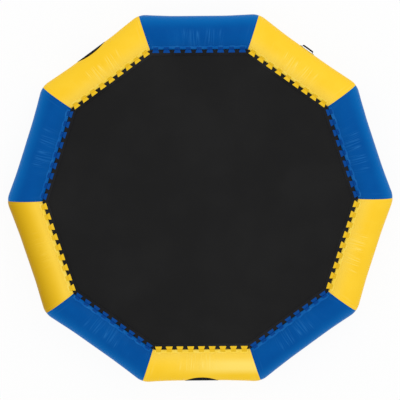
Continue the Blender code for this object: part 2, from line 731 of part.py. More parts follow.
def inflation_valve(side, tube):
    """The valve below the widest line of one segment, and the hole for it in the PVC."""
    frame = facet_frame("valve_frame", side, VALVE_FACET, VALVE_OFFSET)
    hole = rod_mesh("valve_hole", VALVE_BARREL_RADIUS + FIT, VALVE_BARREL_DEPTH, (0.0, 0.0, 0.0), "Z", TURNED_STEPS)
    cut(tube, helper("valve_hole", hole, frame.matrix_world))

    flange_top = FIT + VALVE_FLANGE_THICKNESS
    web_low = -VALVE_WEB_DEPTH - VALVE_WEB_THICKNESS
    stem_bore = STEM_RADIUS + STEM_PLAY
    body_profile = [
        (VALVE_NECK_RADIUS, VALVE_NECK_HEIGHT),
        (VALVE_NECK_RADIUS, flange_top),
        (VALVE_FLANGE_RADIUS, flange_top),
        (VALVE_FLANGE_RADIUS, FIT),
        (VALVE_BARREL_RADIUS, FIT),
        (VALVE_BARREL_RADIUS, -VALVE_BARREL_DEPTH),
        (VALVE_BORE_RADIUS, -VALVE_BARREL_DEPTH),
        (VALVE_BORE_RADIUS, web_low),
        (stem_bore, web_low),
        (stem_bore, -VALVE_WEB_DEPTH),
        (VALVE_BORE_RADIUS, -VALVE_WEB_DEPTH),
        (VALVE_BORE_RADIUS, VALVE_NECK_HEIGHT),
    ]
    body = turned("valve_body", body_profile, VALVE_PLASTIC, frame, True)
    for index in range(VENT_COUNT):
        turn = math.tau * index / VENT_COUNT
        place = (VENT_CIRCLE_RADIUS * math.cos(turn), VENT_CIRCLE_RADIUS * math.sin(turn), web_low)
        name = f"vent_{index + 1}"
        vent = helper(name, rod_mesh(name, VENT_RADIUS, VALVE_BORE_RADIUS, place, "Z", 8))
        vent.parent = frame
        cut(body, vent)

    button_top = BUTTON_LEVEL + BUTTON_HEIGHT
    head_top = web_low - FIT
    poppet_profile = [
        (0.0, button_top),
        (BUTTON_RADIUS, button_top),
        (BUTTON_RADIUS, BUTTON_LEVEL),
        (STEM_RADIUS, BUTTON_LEVEL),
        (STEM_RADIUS, head_top),
        (POPPET_RADIUS, head_top),
        (POPPET_RADIUS, head_top - POPPET_THICKNESS),
        (0.0, head_top - POPPET_THICKNESS),
    ]
    turned("valve_poppet", poppet_profile, VALVE_PLASTIC, frame, False)
    seat = FIT + SPRING_WIRE / 2
    valve_spring(frame, seat - VALVE_WEB_DEPTH, BUTTON_LEVEL - POPPET_TRAVEL - seat)

    gasket_low = VALVE_NECK_HEIGHT + FIT
    gasket_high = gasket_low + GASKET_THICKNESS
    gasket_inner = VALVE_NECK_RADIUS - GASKET_WIDTH
    gasket_profile = [
        (VALVE_NECK_RADIUS, gasket_high),
        (VALVE_NECK_RADIUS, gasket_low),
        (gasket_inner, gasket_low),
        (gasket_inner, gasket_high),
    ]
    turned("valve_gasket", gasket_profile, GASKET_RUBBER, frame, True)

    roof_low = gasket_high + FIT
    roof_high = roof_low + CAP_WALL
    skirt_inner = VALVE_NECK_RADIUS + CAP_PLAY
    skirt_outer = skirt_inner + CAP_WALL
    skirt_low = flange_top + CAP_SKIRT_GAP
    cap_profile = [
        (0.0, roof_high),
        (skirt_outer, roof_high),
        (skirt_outer, skirt_low),
        (skirt_inner, skirt_low),
        (skirt_inner, roof_low),
        (0.0, roof_low),
    ]
    cap = turned("valve_cap", cap_profile, VALVE_PLASTIC, frame, False)
    bar_size = (CAP_BAR_LENGTH, CAP_BAR_SIZE, CAP_BAR_SIZE + CAP_WALL / 2)
    bar_middle = (0.0, 0.0, roof_high + (CAP_BAR_SIZE - CAP_WALL / 2) / 2)
    bar = helper("cap_bar", block_mesh("cap_bar", bar_size, bar_middle))
    bar.parent = frame
    cut(cap, bar, "UNION")


def build():
    """Make every piece."""
    yellow_mesh = mesh_from(loft(segment_rings(False)), "tube_yellow")
    blue_mesh = mesh_from(loft(segment_rings(True)), "tube_blue")
    tubes = {}
    for number, side in enumerate(YELLOW_SIDES, 1):
        tubes[side] = tube_segment(f"tube_yellow_{number}", side, yellow_mesh, PVC_YELLOW)
    for number, side in enumerate(BLUE_SIDES, 1):
        tubes[side] = tube_segment(f"tube_blue_{number}", side, blue_mesh, PVC_BLUE)

    hem, band = hem_mesh(), band_mesh()
    for side in range(SIDES):
        colour = PVC_YELLOW if side in YELLOW_SIDES else PVC_BLUE
        for name, mesh, material in (("lacing_hem", hem, colour), ("mat_loop_band", band, WEBBING)):
            made = add_object(f"{name}_{side + 1}", mesh, material)
            made.rotation_euler.z = side_turn(side)
    lacing_rope()
    bounce_mat()

    ring_shape, anchor, pad = ring_curve(), anchor_patch_mesh(), pad_mesh()
    for number, side in enumerate(BLUE_SIDES, 1):
        frame = facet_frame(f"anchor_frame_{number}", side, ANCHOR_FACET)
        add_object(f"anchor_patch_{number}", anchor, PVC_BLUE).parent = frame
        hung_ring(f"anchor_ring_{number}", side, ANCHOR_FACET, ring_shape)
    for number, side in enumerate(PAD_SIDES, 1):
        add_object(f"accessory_pad_{number}", pad, PAD_RUBBER).rotation_euler.z = side_turn(side)
        hung_ring(f"accessory_ring_{number}", side, PAD_RING_FACET, ring_shape)
    grab_handle(HANDLE_SIDE)
    inflation_valve(VALVE_SIDE, tubes[VALVE_SIDE])


build()
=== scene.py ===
"""Looks of the ten-sided water bouncer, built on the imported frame.

Lengths are in metres in the frame's own axes, +Z up. Each side has a frame of its own: X points
out from the middle of the ring, Y runs along the side and Z points up. A share along a side goes
from -1 at one corner to 1 at the next.
"""

from __future__ import annotations

import logging
import math
from dataclasses import dataclass, field
from enum import Enum
from functools import reduce
from typing import Iterable, Optional, Sequence, Union

import bmesh
import bpy
from mathutils import Matrix, Vector
from mathutils.bvhtree import BVHTree


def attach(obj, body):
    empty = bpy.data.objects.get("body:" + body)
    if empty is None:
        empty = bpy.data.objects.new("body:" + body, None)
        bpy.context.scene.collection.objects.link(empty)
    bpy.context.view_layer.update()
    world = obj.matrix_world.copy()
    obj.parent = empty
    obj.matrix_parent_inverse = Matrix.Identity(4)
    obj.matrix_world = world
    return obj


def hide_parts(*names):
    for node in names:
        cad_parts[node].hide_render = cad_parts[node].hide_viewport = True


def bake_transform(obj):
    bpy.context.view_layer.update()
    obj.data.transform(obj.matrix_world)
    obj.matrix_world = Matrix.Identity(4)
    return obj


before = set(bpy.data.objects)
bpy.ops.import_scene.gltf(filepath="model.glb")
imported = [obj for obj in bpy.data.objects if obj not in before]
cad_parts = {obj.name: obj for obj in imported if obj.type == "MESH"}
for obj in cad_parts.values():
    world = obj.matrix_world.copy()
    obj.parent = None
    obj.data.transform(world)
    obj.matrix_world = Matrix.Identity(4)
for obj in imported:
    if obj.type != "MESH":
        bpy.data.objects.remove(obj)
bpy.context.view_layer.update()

LOG = logging.getLogger("water_bouncer")
logging.basicConfig(level=logging.INFO, format="%(name)s: %(message)s")

Node = bpy.types.Node
Tree = bpy.types.NodeTree
Socket = bpy.types.NodeSocket
Value = Union[float, Socket]
Colour = tuple[float, float, float]
Tint = Union[Colour, Socket]
Inputs = dict[Union[int, str], object]
Spot = tuple[float, float]
Material = bpy.types.Material
Mesh = bpy.types.Mesh

RING_BODY = "ring"
MAT_BODY = "bounce_mat"
SKIN = "skin"


class Tone(Enum):
    """Colour of one side of the ring."""

    YELLOW = "yellow"
    BLUE = "blue"


class TreeKind(Enum):
    """What a tree of nodes is for."""

    SHADER = "ShaderNodeTree"
    GEOMETRY = "GeometryNodeTree"


class SocketKind(Enum):
    """Types of the sockets that a group or a tree offers."""

    FLOAT = "NodeSocketFloat"
    INT = "NodeSocketInt"
    VECTOR = "NodeSocketVector"
    GEOMETRY = "NodeSocketGeometry"
    MATERIAL = "NodeSocketMaterial"


class Graph:
    """Builds a node tree from short calls, each of which returns a node or a socket."""

    def __init__(self, tree: Tree) -> None:
        """Start on a tree.

        Args:
            tree: The tree that the nodes go into.
        """
        self.tree = tree
        self.count = 0

    def node(self, kind: str, inputs: Optional[Inputs] = None, **settings: object) -> Node:
        """Add a node.

        Args:
            kind: The node's type name.
            inputs: What goes into it by name or place, each a socket or a plain value.
            settings: Properties to set on it.

        Returns:
            The new node.
        """
        made = self.tree.nodes.new(kind)
        self.count += 1
        made.location = (190 * (self.count % 24), -240 * (self.count // 24))
        for name, value in settings.items():
            setattr(made, name, value)
        for key, value in (inputs or {}).items():
            self.join(value, made.inputs[key])
        return made

    def join(self, value: object, target: Socket) -> None:
        """Link a socket to an input, or set the input to a plain value.

        Args:
            value: A socket or a plain value.
            target: The input.
        """
        if isinstance(value, Socket):
            self.tree.links.new(value, target)
        else:
            target.default_value = value

    def maths(self, operation: str, *values: Value) -> Socket:
        """Result of a Math node."""
        return self.node("ShaderNodeMath", dict(enumerate(values)), operation=operation).outputs[0]

    def vectors(self, operation: str, *values: object) -> Socket:
        """Result of a Vector Math node.

        Args:
            operation: The node's operation.
            values: Its inputs, sockets or vectors.

        Returns:
            A vector, or a number where the operation gives one.
        """
        made = self.node("ShaderNodeVectorMath", dict(enumerate(values)), operation=operation)
        number = operation in ("DOT_PRODUCT", "LENGTH", "DISTANCE")
        return made.outputs["Value" if number else "Vector"]

    def scaled(self, vector: object, factor: Value) -> Socket:
        """A vector times a number."""
        inputs = {0: vector, "Scale": factor}
        return self.node("ShaderNodeVectorMath", inputs, operation="SCALE").outputs[0]

    def add(self, *values: Value) -> Socket:
        """Sum of two or more values."""
        return reduce(lambda total, value: self.maths("ADD", total, value), values)

    def take(self, first: Value, second: Value) -> Socket:
        """First value less the second."""
        return self.maths("SUBTRACT", first, second)

    def times(self, *values: Value) -> Socket:
        """Product of two or more values."""
        return reduce(lambda total, value: self.maths("MULTIPLY", total, value), values)

    def size(self, value: Value) -> Socket:
        """A value without its sign."""
        return self.maths("ABSOLUTE", value)

    def ramp(
        self,
        value: Value,
        start: Value,
        end: Value,
        low: Value = 0.0,
        high: Value = 1.0,
        smooth: bool = True,
    ) -> Socket:
        """Map a value from one range to another, held at the ends.

        Args:
            value: What is mapped.
            start: Where the result is low.
            end: Where the result is high.
            low: The result at the start.
            high: The result at the end.
            smooth: Whether the change eases in and out.

        Returns:
            The mapped value.
        """
        made = self.node("ShaderNodeMapRange", dict(enumerate((value, start, end, low, high))))
        made.interpolation_type = "SMOOTHSTEP" if smooth else "LINEAR"
        return made.outputs[0]

    def window(self, value: Value, opens: Spot, shuts: Spot) -> Socket:
        """Mask that rises over one range of a value and falls over another."""
        return self.times(self.ramp(value, *opens), self.ramp(value, *shuts))

    def vector(self, x: Value = 0.0, y: Value = 0.0, z: Value = 0.0) -> Socket:
        """A vector from its three parts."""
        return self.node("ShaderNodeCombineXYZ", {0: x, 1: y, 2: z}).outputs[0]

    def parts(self, vector: Socket) -> list[Socket]:
        """The three parts of a vector."""
        return list(self.node("ShaderNodeSeparateXYZ", {0: vector}).outputs)

    def noise(self, place: Socket, scale: Value, detail: float = 2.0, rough: float = 0.5) -> Socket:
        """Value of a noise at a place.

        Args:
            place: Where it is read.
            scale: How fine it is.
            detail: How many finer layers it has.
            rough: How strong those are.

        Returns:
            The noise, from 0 to 1.
        """
        inputs = {"Vector": place, "Scale": scale, "Detail": detail, "Roughness": rough}
        return self.node("ShaderNodeTexNoise", inputs, noise_dimensions="3D").outputs[0]

    def uneven(self, place: Socket, scale: Value, detail: float) -> Socket:
        """Value of a noise about 0, from -1 to 1."""
        return self.times(self.take(self.noise(place, scale, detail), 0.5), 2.0)

    def blend(self, share: Value, first: Tint, second: Tint) -> Socket:
        """Mix two colours.

        Args:
            share: How much of the second colour shows.
            first: The first colour.
            second: The second colour.

        Returns:
            The mixed colour.
        """
        inputs: Inputs = {0: share}
        for place, colour in ((6, first), (7, second)):
            inputs[place] = colour if isinstance(colour, Socket) else (*colour, 1.0)
        return self.node("ShaderNodeMix", inputs, data_type="RGBA").outputs[2]

    def straight(self) -> Socket:
        """Mask of the rays by which the camera sees a surface, also in a gloss or through glass.

        Returns:
            The mask.
        """
        seen = self.node("ShaderNodeLightPath").outputs
        bent = self.maths("MAXIMUM", seen["Is Glossy Ray"], seen["Is Transmission Ray"])
        return self.maths("MAXIMUM", seen["Is Camera Ray"], bent)


def new_tree(
    name: str,
    kind: TreeKind,
    inputs: Sequence[tuple[str, SocketKind, object]],
    outputs: Sequence[tuple[str, SocketKind]],
) -> tuple[Graph, dict[str, Socket], Node]:
    """Make a tree with named inputs and outputs.

    Args:
        name: The tree's name.
        kind: Whether it is for a shader or for geometry.
        inputs: Name, type and default of each input.
        outputs: Name and type of each output.

    Returns:
        The graph, its input sockets by name and its output node.
    """
    tree = bpy.data.node_groups.new(name, kind.value)
    for title, socket_kind, value in inputs:
        made = tree.interface.new_socket(name=title, in_out="INPUT", socket_type=socket_kind.value)
        if value is not None:
            made.default_value = value
    for title, socket_kind in outputs:
        tree.interface.new_socket(name=title, in_out="OUTPUT", socket_type=socket_kind.value)
    graph = Graph(tree)
    given = graph.node("NodeGroupInput")
    result = graph.node("NodeGroupOutput")
    return graph, {item.name: item for item in given.outputs if item.name}, result


def geometry_tree(
    name: str, inputs: Sequence[tuple[str, SocketKind, object]]
) -> tuple[Graph, dict[str, Socket], Node]:
    """Make a tree of geometry nodes, which also takes the material as its last input."""
    finish = ("Finish", SocketKind.MATERIAL, None)
    return new_tree(name, TreeKind.GEOMETRY, [*inputs, finish], [("Geometry", SocketKind.GEOMETRY)])


def close_tree(graph: Graph, geometry: Socket, finish: Socket, result: Node) -> None:
    """End a tree with its instances made real and its material set.

    Args:
        graph: The tree being built.
        geometry: What the tree has made.
        finish: The material input.
        result: The tree's output node.
    """
    real = graph.node("GeometryNodeRealizeInstances", {0: geometry})
    inputs = {"Geometry": real.outputs[0], "Material": finish}
    dressed = graph.node("GeometryNodeSetMaterial", inputs)
    graph.join(dressed.outputs[0], result.inputs[0])


def with_skin(graph: Graph, geometry: Socket, measure: Socket, domain: str) -> Socket:
    """Store a measure on geometry, which the finishes follow.

    Args:
        graph: The tree being built.
        geometry: What carries it.
        measure: The measure, in metres.
        domain: Where on the geometry it is stored.

    Returns:
        The geometry with its measure.
    """
    inputs = {"Geometry": geometry, "Name": SKIN, "Value": measure}
    kind = "GeometryNodeStoreNamedAttribute"
    return graph.node(kind, inputs, data_type="FLOAT_VECTOR", domain=domain).outputs[0]


def evaluated(name: str, holder: bpy.types.Object) -> Mesh:
    """Plain mesh of what an object's modifiers make. The object is removed.

    Args:
        name: Name of the mesh.
        holder: The object, which isn't in the scene yet.

    Returns:
        A mesh with nothing live on it.
    """
    bpy.context.scene.collection.objects.link(holder)
    bpy.context.view_layer.update()
    made = holder.evaluated_get(bpy.context.evaluated_depsgraph_get())
    mesh = bpy.data.meshes.new_from_object(made)
    mesh.name = name
    bpy.data.objects.remove(holder, do_unlink=True)
    return mesh


def add_wall(holder: bpy.types.Object, wall: float, offset: float) -> None:
    """Put the modifier on an object that gives its sheet a thickness."""
    shell = holder.modifiers.new("wall", "SOLIDIFY")
    shell.thickness, shell.offset = wall, offset


def run_tree(
    name: str,
    tree: Tree,
    values: dict[str, object],
    base: Optional[Mesh] = None,
    wall: float = 0.0,
) -> Mesh:
    """Evaluate a tree of geometry nodes once, as a plain mesh.

    Args:
        name: Name of the mesh.
        tree: The tree.
        values: Its inputs by name.
        base: The mesh that the tree starts from, if it needs one.
        wall: Thickness to give it inwards, if any.

    Returns:
        A mesh with nothing live on it.
    """
    holder = bpy.data.objects.new(name + "_holder", base or bpy.data.meshes.new(name + "_base"))
    modifier = holder.modifiers.new("nodes", "NODES")
    modifier.node_group = tree
    for item in tree.interface.items_tree:
        if item.in_out == "INPUT" and item.name in values:
            modifier[item.identifier] = values[item.name]
    if wall:
        add_wall(holder, wall, -1.0)
    return evaluated(name, holder)


def finished(mesh: Mesh, cap: bool = False) -> Mesh:
    """Close a mesh and turn its faces outwards.

    Args:
        mesh: The mesh, which is changed.
        cap: Whether its open ends are filled. Otherwise its doubles are merged.

    Returns:
        The same mesh.
    """
    bm = bmesh.new()
    bm.from_mesh(mesh)
    if cap:
        bmesh.ops.holes_fill(bm, edges=bm.edges)
    else:
        bmesh.ops.remove_doubles(bm, verts=bm.verts, dist=1e-5)
    bmesh.ops.recalc_face_normals(bm, faces=bm.faces)
    bm.to_mesh(mesh)
    bm.free()
    return mesh


def capped(mesh: Mesh) -> Mesh:
    """Fill a mesh's open ends and turn its faces outwards."""
    return finished(mesh, cap=True)


def with_wall(name: str, mesh: Mesh, wall: float, offset: float = -1.0) -> Mesh:
    """Give an open sheet a thickness, which closes it.

    Args:
        name: Name of the new mesh.
        mesh: The open sheet.
        wall: Its thickness.
        offset: Which side it grows to, from -1 for behind its faces to 1 for in front.

    Returns:
        The closed mesh.
    """
    holder = bpy.data.objects.new(name + "_holder", mesh)
    add_wall(holder, wall, offset)
    return finished(evaluated(name, holder))


def grid_mesh(
    name: str, rows: Sequence[Sequence[Vector]], ring: bool = False, mark: float = 0.0
) -> Mesh:
    """Sheet of quads through rows of points, with its own measure in metres as skin.

    Args:
        name: Name of the mesh.
        rows: The points, in rows of equal length.
        ring: Whether each row closes on itself.
        mark: Third number of the measure, by which a finish can tell this sheet.

    Returns:
        The sheet.
    """
    width = len(rows[0])
    last = width if ring else width - 1
    middle = width // 2
    down = [0.0]
    for upper, lower in zip(rows, rows[1:]):
        down.append(down[-1] + (lower[middle] - upper[middle]).length)
    lengths = []
    for row in rows:
        run = [0.0]
        for index in range(last):
            run.append(run[-1] + (row[(index + 1) % width] - row[index]).length)
        lengths.append(run)
    faces, measures = [], []
    for level in range(len(rows) - 1):
        for index in range(last):
            after, below = index + 1, level + 1
            corners = [(level, index), (level, after), (below, after), (below, index)]
            faces.append([row * width + place % width for row, place in corners])
            measures += [(lengths[row][place], down[row], mark) for row, place in corners]
    mesh = bpy.data.meshes.new(name)
    mesh.from_pydata([tuple(point) for row in rows for point in row], [], faces)
    skin = mesh.attributes.new(SKIN, "FLOAT_VECTOR", "CORNER")
    skin.data.foreach_set("vector", [number for measure in measures for number in measure])
    return mesh


def joined(name: str, meshes: Iterable[Mesh]) -> Mesh:
    """One mesh of several.

    Args:
        name: Name of the new mesh.
        meshes: What goes into it.

    Returns:
        The new mesh.
    """
    bm = bmesh.new()
    for mesh in meshes:
        bm.from_mesh(mesh)
    made = bpy.data.meshes.new(name)
    bm.to_mesh(made)
    bm.free()
    return made


def line_mesh(name: str, points: Sequence[Vector], closed: bool = False) -> Mesh:
    """A path of edges through points.

    Args:
        name: Name of the mesh.
        points: The points.
        closed: Whether the last joins the first.

    Returns:
        The path.
    """
    count = len(points)
    edges = [(index, (index + 1) % count) for index in range(count if closed else count - 1)]
    mesh = bpy.data.meshes.new(name)
    mesh.from_pydata([tuple(point) for point in points], edges, [])
    return mesh


def evenly(start: float, end: float, steps: int) -> list[float]:
    """Numbers from start to end in equal steps, both ends with them."""
    return [start + (end - start) * index / steps for index in range(steps + 1)]


def held(value: float) -> float:
    """A number kept between 0 and 1."""
    return min(max(value, 0.0), 1.0)


def eased(share: float) -> float:
    """A share that starts and ends its rise softly."""
    return share * share * (3.0 - 2.0 * share)


def squared(value: float, power: float) -> float:
    """A sine or cosine that is drawn out towards a square, and keeps its sign."""
    return math.copysign(abs(value) ** power, value)


def turns(steps: int) -> list[float]:
    """Angles of equal steps round a circle, from 0."""
    return [math.tau * step / steps for step in range(steps)]


def circle(radius: float, steps: int) -> list[Spot]:
    """Points round a circle."""
    return [(radius * math.cos(turn), radius * math.sin(turn)) for turn in turns(steps)]


def arc(start: float, end: float, steps: int) -> list[Spot]:
    """Cosine and sine of angles from start to end, which are in degrees."""
    angles = [math.radians(angle) for angle in evenly(start, end, steps)]
    return [(math.cos(angle), math.sin(angle)) for angle in angles]


def ray(angle: float) -> Vector:
    """Direction out of the tube at an angle round it, in a side's own frame."""
    return Vector((math.cos(angle), 0.0, math.sin(angle)))


def stitch_mesh(length: float, radius: float) -> Mesh:
    """One stitch of thread, lying along Y.

    Args:
        length: From end to end.
        radius: Of the thread.

    Returns:
        A closed mesh of a few faces.
    """
    rows = []
    for share, swell in ((-0.5, 0.15), (-0.32, 0.9), (0.32, 0.9), (0.5, 0.15)):
        rows.append([Vector((x, share * length, z)) for x, z in circle(radius * swell, 6)])
    return capped(grid_mesh("stitch", rows, ring=True))


def row_tree() -> Tree:
    """Tree that repeats a piece along a straight row.

    Returns:
        The tree. It starts from the piece, and its inputs are the row's count, start and step.
    """
    sizes = [
        ("Piece", SocketKind.GEOMETRY, None),
        ("Count", SocketKind.INT, 9),
        ("Start", SocketKind.VECTOR, None),
        ("Step", SocketKind.VECTOR, None),
        ("Play", SocketKind.FLOAT, 0.0),
        ("Seed", SocketKind.INT, 1),
    ]
    graph, given, result = geometry_tree("row_of_pieces", sizes)
    spots = {"Count": given["Count"], "Start Location": given["Start"], "Offset": given["Step"]}
    line = graph.node("GeometryNodeMeshLine", spots, mode="OFFSET")
    play = graph.vector(given["Play"], given["Play"], given["Play"])
    limits = {0: graph.scaled(play, -1.0), 1: play, "Seed": given["Seed"]}
    chance = graph.node("FunctionNodeRandomValue", limits, data_type="FLOAT_VECTOR")
    copies = {"Points": line.outputs[0], "Instance": given["Piece"], "Rotation": chance.outputs[0]}
    placed = graph.node("GeometryNodeInstanceOnPoints", copies)
    close_tree(graph, placed.outputs[0], given["Finish"], result)
    return graph.tree


def rod_tree() -> Tree:
    """Tree that sweeps a round rod along a path and measures it as skin.

    Returns:
        The tree, which starts from the path as a mesh of edges.
    """
    sizes = [
        ("Path", SocketKind.GEOMETRY, None),
        ("Radius", SocketKind.FLOAT, 0.003),
        ("Sides", SocketKind.INT, 12),
    ]
    graph, given, result = geometry_tree("bent_rod", sizes)
    curve = graph.node("GeometryNodeMeshToCurve", {0: given["Path"]})
    section = {"Resolution": given["Sides"], "Radius": given["Radius"]}
    ring = graph.node("GeometryNodeCurvePrimitiveCircle", section, mode="RADIUS")
    measured = []
    for line in (curve, ring):
        kept = graph.node("GeometryNodeCaptureAttribute", domain="POINT")
        kept.capture_items.new("FLOAT", "Run")
        graph.join(line.outputs[0], kept.inputs["Geometry"])
        graph.join(graph.node("GeometryNodeSplineParameter").outputs["Length"], kept.inputs["Run"])
        measured.append(kept.outputs)
    path, around = measured
    lines = {"Curve": path["Geometry"], "Profile Curve": around["Geometry"], "Fill Caps": True}
    swept = graph.node("GeometryNodeCurveToMesh", lines)
    skinned = with_skin(graph, swept.outputs[0], graph.vector(around["Run"], path["Run"]), "POINT")
    close_tree(graph, skinned, given["Finish"], result)
    return graph.tree


def stitch_tree() -> Tree:
    """Tree that sews stitches along a path.

    Returns:
        The tree, which starts from the path as a mesh of edges.
    """
    sizes = [
        ("Path", SocketKind.GEOMETRY, None),
        ("Gap", SocketKind.FLOAT, 0.0046),
        ("Length", SocketKind.FLOAT, 0.0034),
        ("Thickness", SocketKind.FLOAT, 0.0011),
    ]
    graph, given, result = geometry_tree("line_of_stitches", sizes)
    curve = graph.node("GeometryNodeMeshToCurve", {0: given["Path"]})
    pace = {"Curve": curve.outputs[0], "Length": given["Gap"]}
    spaced = graph.node("GeometryNodeResampleCurve", pace, mode="LENGTH")
    bead = graph.node("GeometryNodeMeshUVSphere", {"Segments": 6, "Rings": 5, "Radius": 0.5})
    size = graph.vector(given["Thickness"], given["Thickness"], given["Length"])
    shaped = graph.node("GeometryNodeTransform", {"Geometry": bead.outputs["Mesh"], "Scale": size})
    tangent = graph.node("GeometryNodeInputTangent").outputs[0]
    facing = graph.node("FunctionNodeAlignRotationToVector", {"Vector": tangent}, axis="Z")
    copies = {"Points": spaced.outputs[0], "Instance": shaped.outputs[0]}
    copies["Rotation"] = facing.outputs[0]
    placed = graph.node("GeometryNodeInstanceOnPoints", copies)
    close_tree(graph, placed.outputs[0], given["Finish"], result)
    return graph.tree


def piece(
    name: str,
    mesh: Mesh,
    material: Material,
    body: Optional[str],
    nodes: Iterable[str] = (),
    sharp: float = 40.0,
    turn: Optional[Matrix] = None,
) -> bpy.types.Object:
    """Put a finished mesh in the scene as a piece of the bouncer.

    Args:
        name: The piece's name.
        mesh: Its mesh.
        material: Its finish.
        body: The body it rides on, or None where it rides on none.
        nodes: The solids it stands for.
        sharp: Edges over this many degrees stay sharp.
        turn: Matrix from the mesh's own frame to the ring's, where they differ.

    Returns:
        The new object.
    """
    if turn is not None:
        mesh.transform(turn)
    mesh.materials.clear()
    mesh.materials.append(material)
    mesh.shade_smooth()
    mesh.set_sharp_from_angle(angle=math.radians(sharp))
    made = bpy.data.objects.new(name, mesh)
    bpy.context.scene.collection.objects.link(made)
    if body is not None:
        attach(made, body)
    stands_for = list(nodes)
    if stands_for:
        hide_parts(*stands_for)
    LOG.info("%s: %d faces", name, len(mesh.polygons))
    return made


@dataclass(frozen=True)
class Finishes:
    """Every material of the bouncer."""

    fabric: dict[Tone, Material]
    hem: dict[Tone, Material]
    webbing: Material
    braid: Material
    thread: Material
    cloth: Material
    rubber: Material
    plastic: Material
    gasket: Material
    steel: Material


@dataclass(frozen=True)
class Bench:
    """Geometry trees that several pieces share, each built once."""

    rows: Tree = field(default_factory=row_tree)
    rods: Tree = field(default_factory=rod_tree)
    stitches: Tree = field(default_factory=stitch_tree)

    def row(
        self,
        name: str,
        base: Mesh,
        count: int,
        pitch: float,
        finish: Material,
        seed: int,
        play: float = 0.0004,
        place: Spot = (0.0, 0.0),
    ) -> Mesh:
        """Repeat a piece along a side, about its middle.

        Args:
            name: Name of the mesh.
            base: The piece.
            count: How many there are.
            pitch: From one to the next.
            finish: Their material.
            seed: Of their small turns.
            play: How far each is turned at most, in radians.
            place: Where the row lies, out and up from the piece's own place.

        Returns:
            The row's mesh, in the side's own frame.
        """
        values = {
            "Count": count,
            "Start": (place[0], -0.5 * (count - 1) * pitch, place[1]),
            "Step": (0.0, pitch, 0.0),
            "Play": play,
            "Seed": seed,
            "Finish": finish,
        }
        return run_tree(name, self.rows, values, base=base)

    def rod(self, name: str, path: Mesh, radius: float, sides: int, finish: Material) -> Mesh:
        """Sweep a round rod along a closed path.

        Args:
            name: Name of the mesh.
            path: The path, as edges.
            radius: The rod's.
            sides: Number of its flats.
            finish: Its material.

        Returns:
            Its mesh, in the path's own frame.
        """
        values = {"Radius": radius, "Sides": sides, "Finish": finish}
        return finished(run_tree(name, self.rods, values, base=path))

    def sewn(
        self, paths: Iterable[Mesh], gap: float, length: float, thickness: float, finish: Material
    ) -> list[Mesh]:
        """Sew stitches along paths.

        Args:
            paths: The paths, as edges.
            gap: From one stitch to the next.
            length: Of a stitch.
            thickness: Of the thread.
            finish: Its material.

        Returns:
            The stitches along each path.
        """
        values = {"Gap": gap, "Length": length, "Thickness": thickness, "Finish": finish}
        return [run_tree("seam", self.stitches, values, base=path) for path in paths]


@dataclass(frozen=True)
class RingPlan:
    """Sizes that the ring's pieces share, and the form of its skin.

    Sides are counted anticlockwise from 0. An angle round the tube is 0 where the tube faces out
    and a quarter turn on its crown.
    """

    sides: int = 10
    apothem: float = 1.95475
    height: float = 0.23539
    radius: float = 0.2375
    bow: float = 0.023
    bow_start: float = 0.30
    bow_end: float = 1.36
    neck: float = 0.017
    neck_start: float = 0.88
    seam_lap: float = 0.035
    floor_gap: float = 0.0006
    handle_side: int = 1
    pad_sides: tuple[int, ...] = (3, 7)
    valve_side: int = 9
    valve_seat: Vector = field(default_factory=lambda: Vector((2.10972, 0.15000, 0.06894)))
    valve_axis: Vector = field(default_factory=lambda: Vector((0.75555, 0.0, -0.65511)))

    @property
    def corner(self) -> float:
        """Angle from the middle of a side to its corner."""
        return math.pi / self.sides

    @property
    def mitre(self) -> float:
        """Half a side's length for each metre of apothem."""
        return math.tan(self.corner)

    def turn(self, side: int) -> Matrix:
        """Matrix from a side's own frame to the whole ring's."""
        return Matrix.Rotation((2 * side + 1) * self.corner, 4, "Z")

    def tone(self, side: int) -> Tone:
        """Colour of a side."""
        return Tone.YELLOW if side % 2 else Tone.BLUE

    def tube_node(self, side: int) -> str:
        """Name of a side's tube solid."""
        return f"tube_{self.tone(side).value}_{side // 2 + 1}"

    def skin(self, share: float, angle: float, lift: float = 0.0) -> Vector:
        """Point on the smooth skin of a side, in the side's own frame.

        Args:
            share: Place along the side.
            angle: Place round the tube.
            lift: Distance out from the skin.

        Returns:
            The point.
        """
        weight = max(math.cos(angle), 0.0) ** 2
        reach = abs(share)
        bow = 1.0 - eased(held((reach - self.bow_start) / (self.bow_end - self.bow_start)))
        neck = held((reach - self.neck_start) / (1.0 - self.neck_start)) ** 2
        radius = self.radius - self.neck * weight * neck + lift
        out = self.apothem + radius * math.cos(angle) - self.bow * weight * bow
        up = max(self.height + radius * math.sin(angle), self.floor_gap)
        return Vector((out, share * out * self.mitre, up))

    def share_at(self, along: float, angle: float) -> float:
        """Share along a side at which the skin lies a given distance from its middle."""
        out = self.apothem + self.radius * math.cos(angle)
        return along / (out * self.mitre)


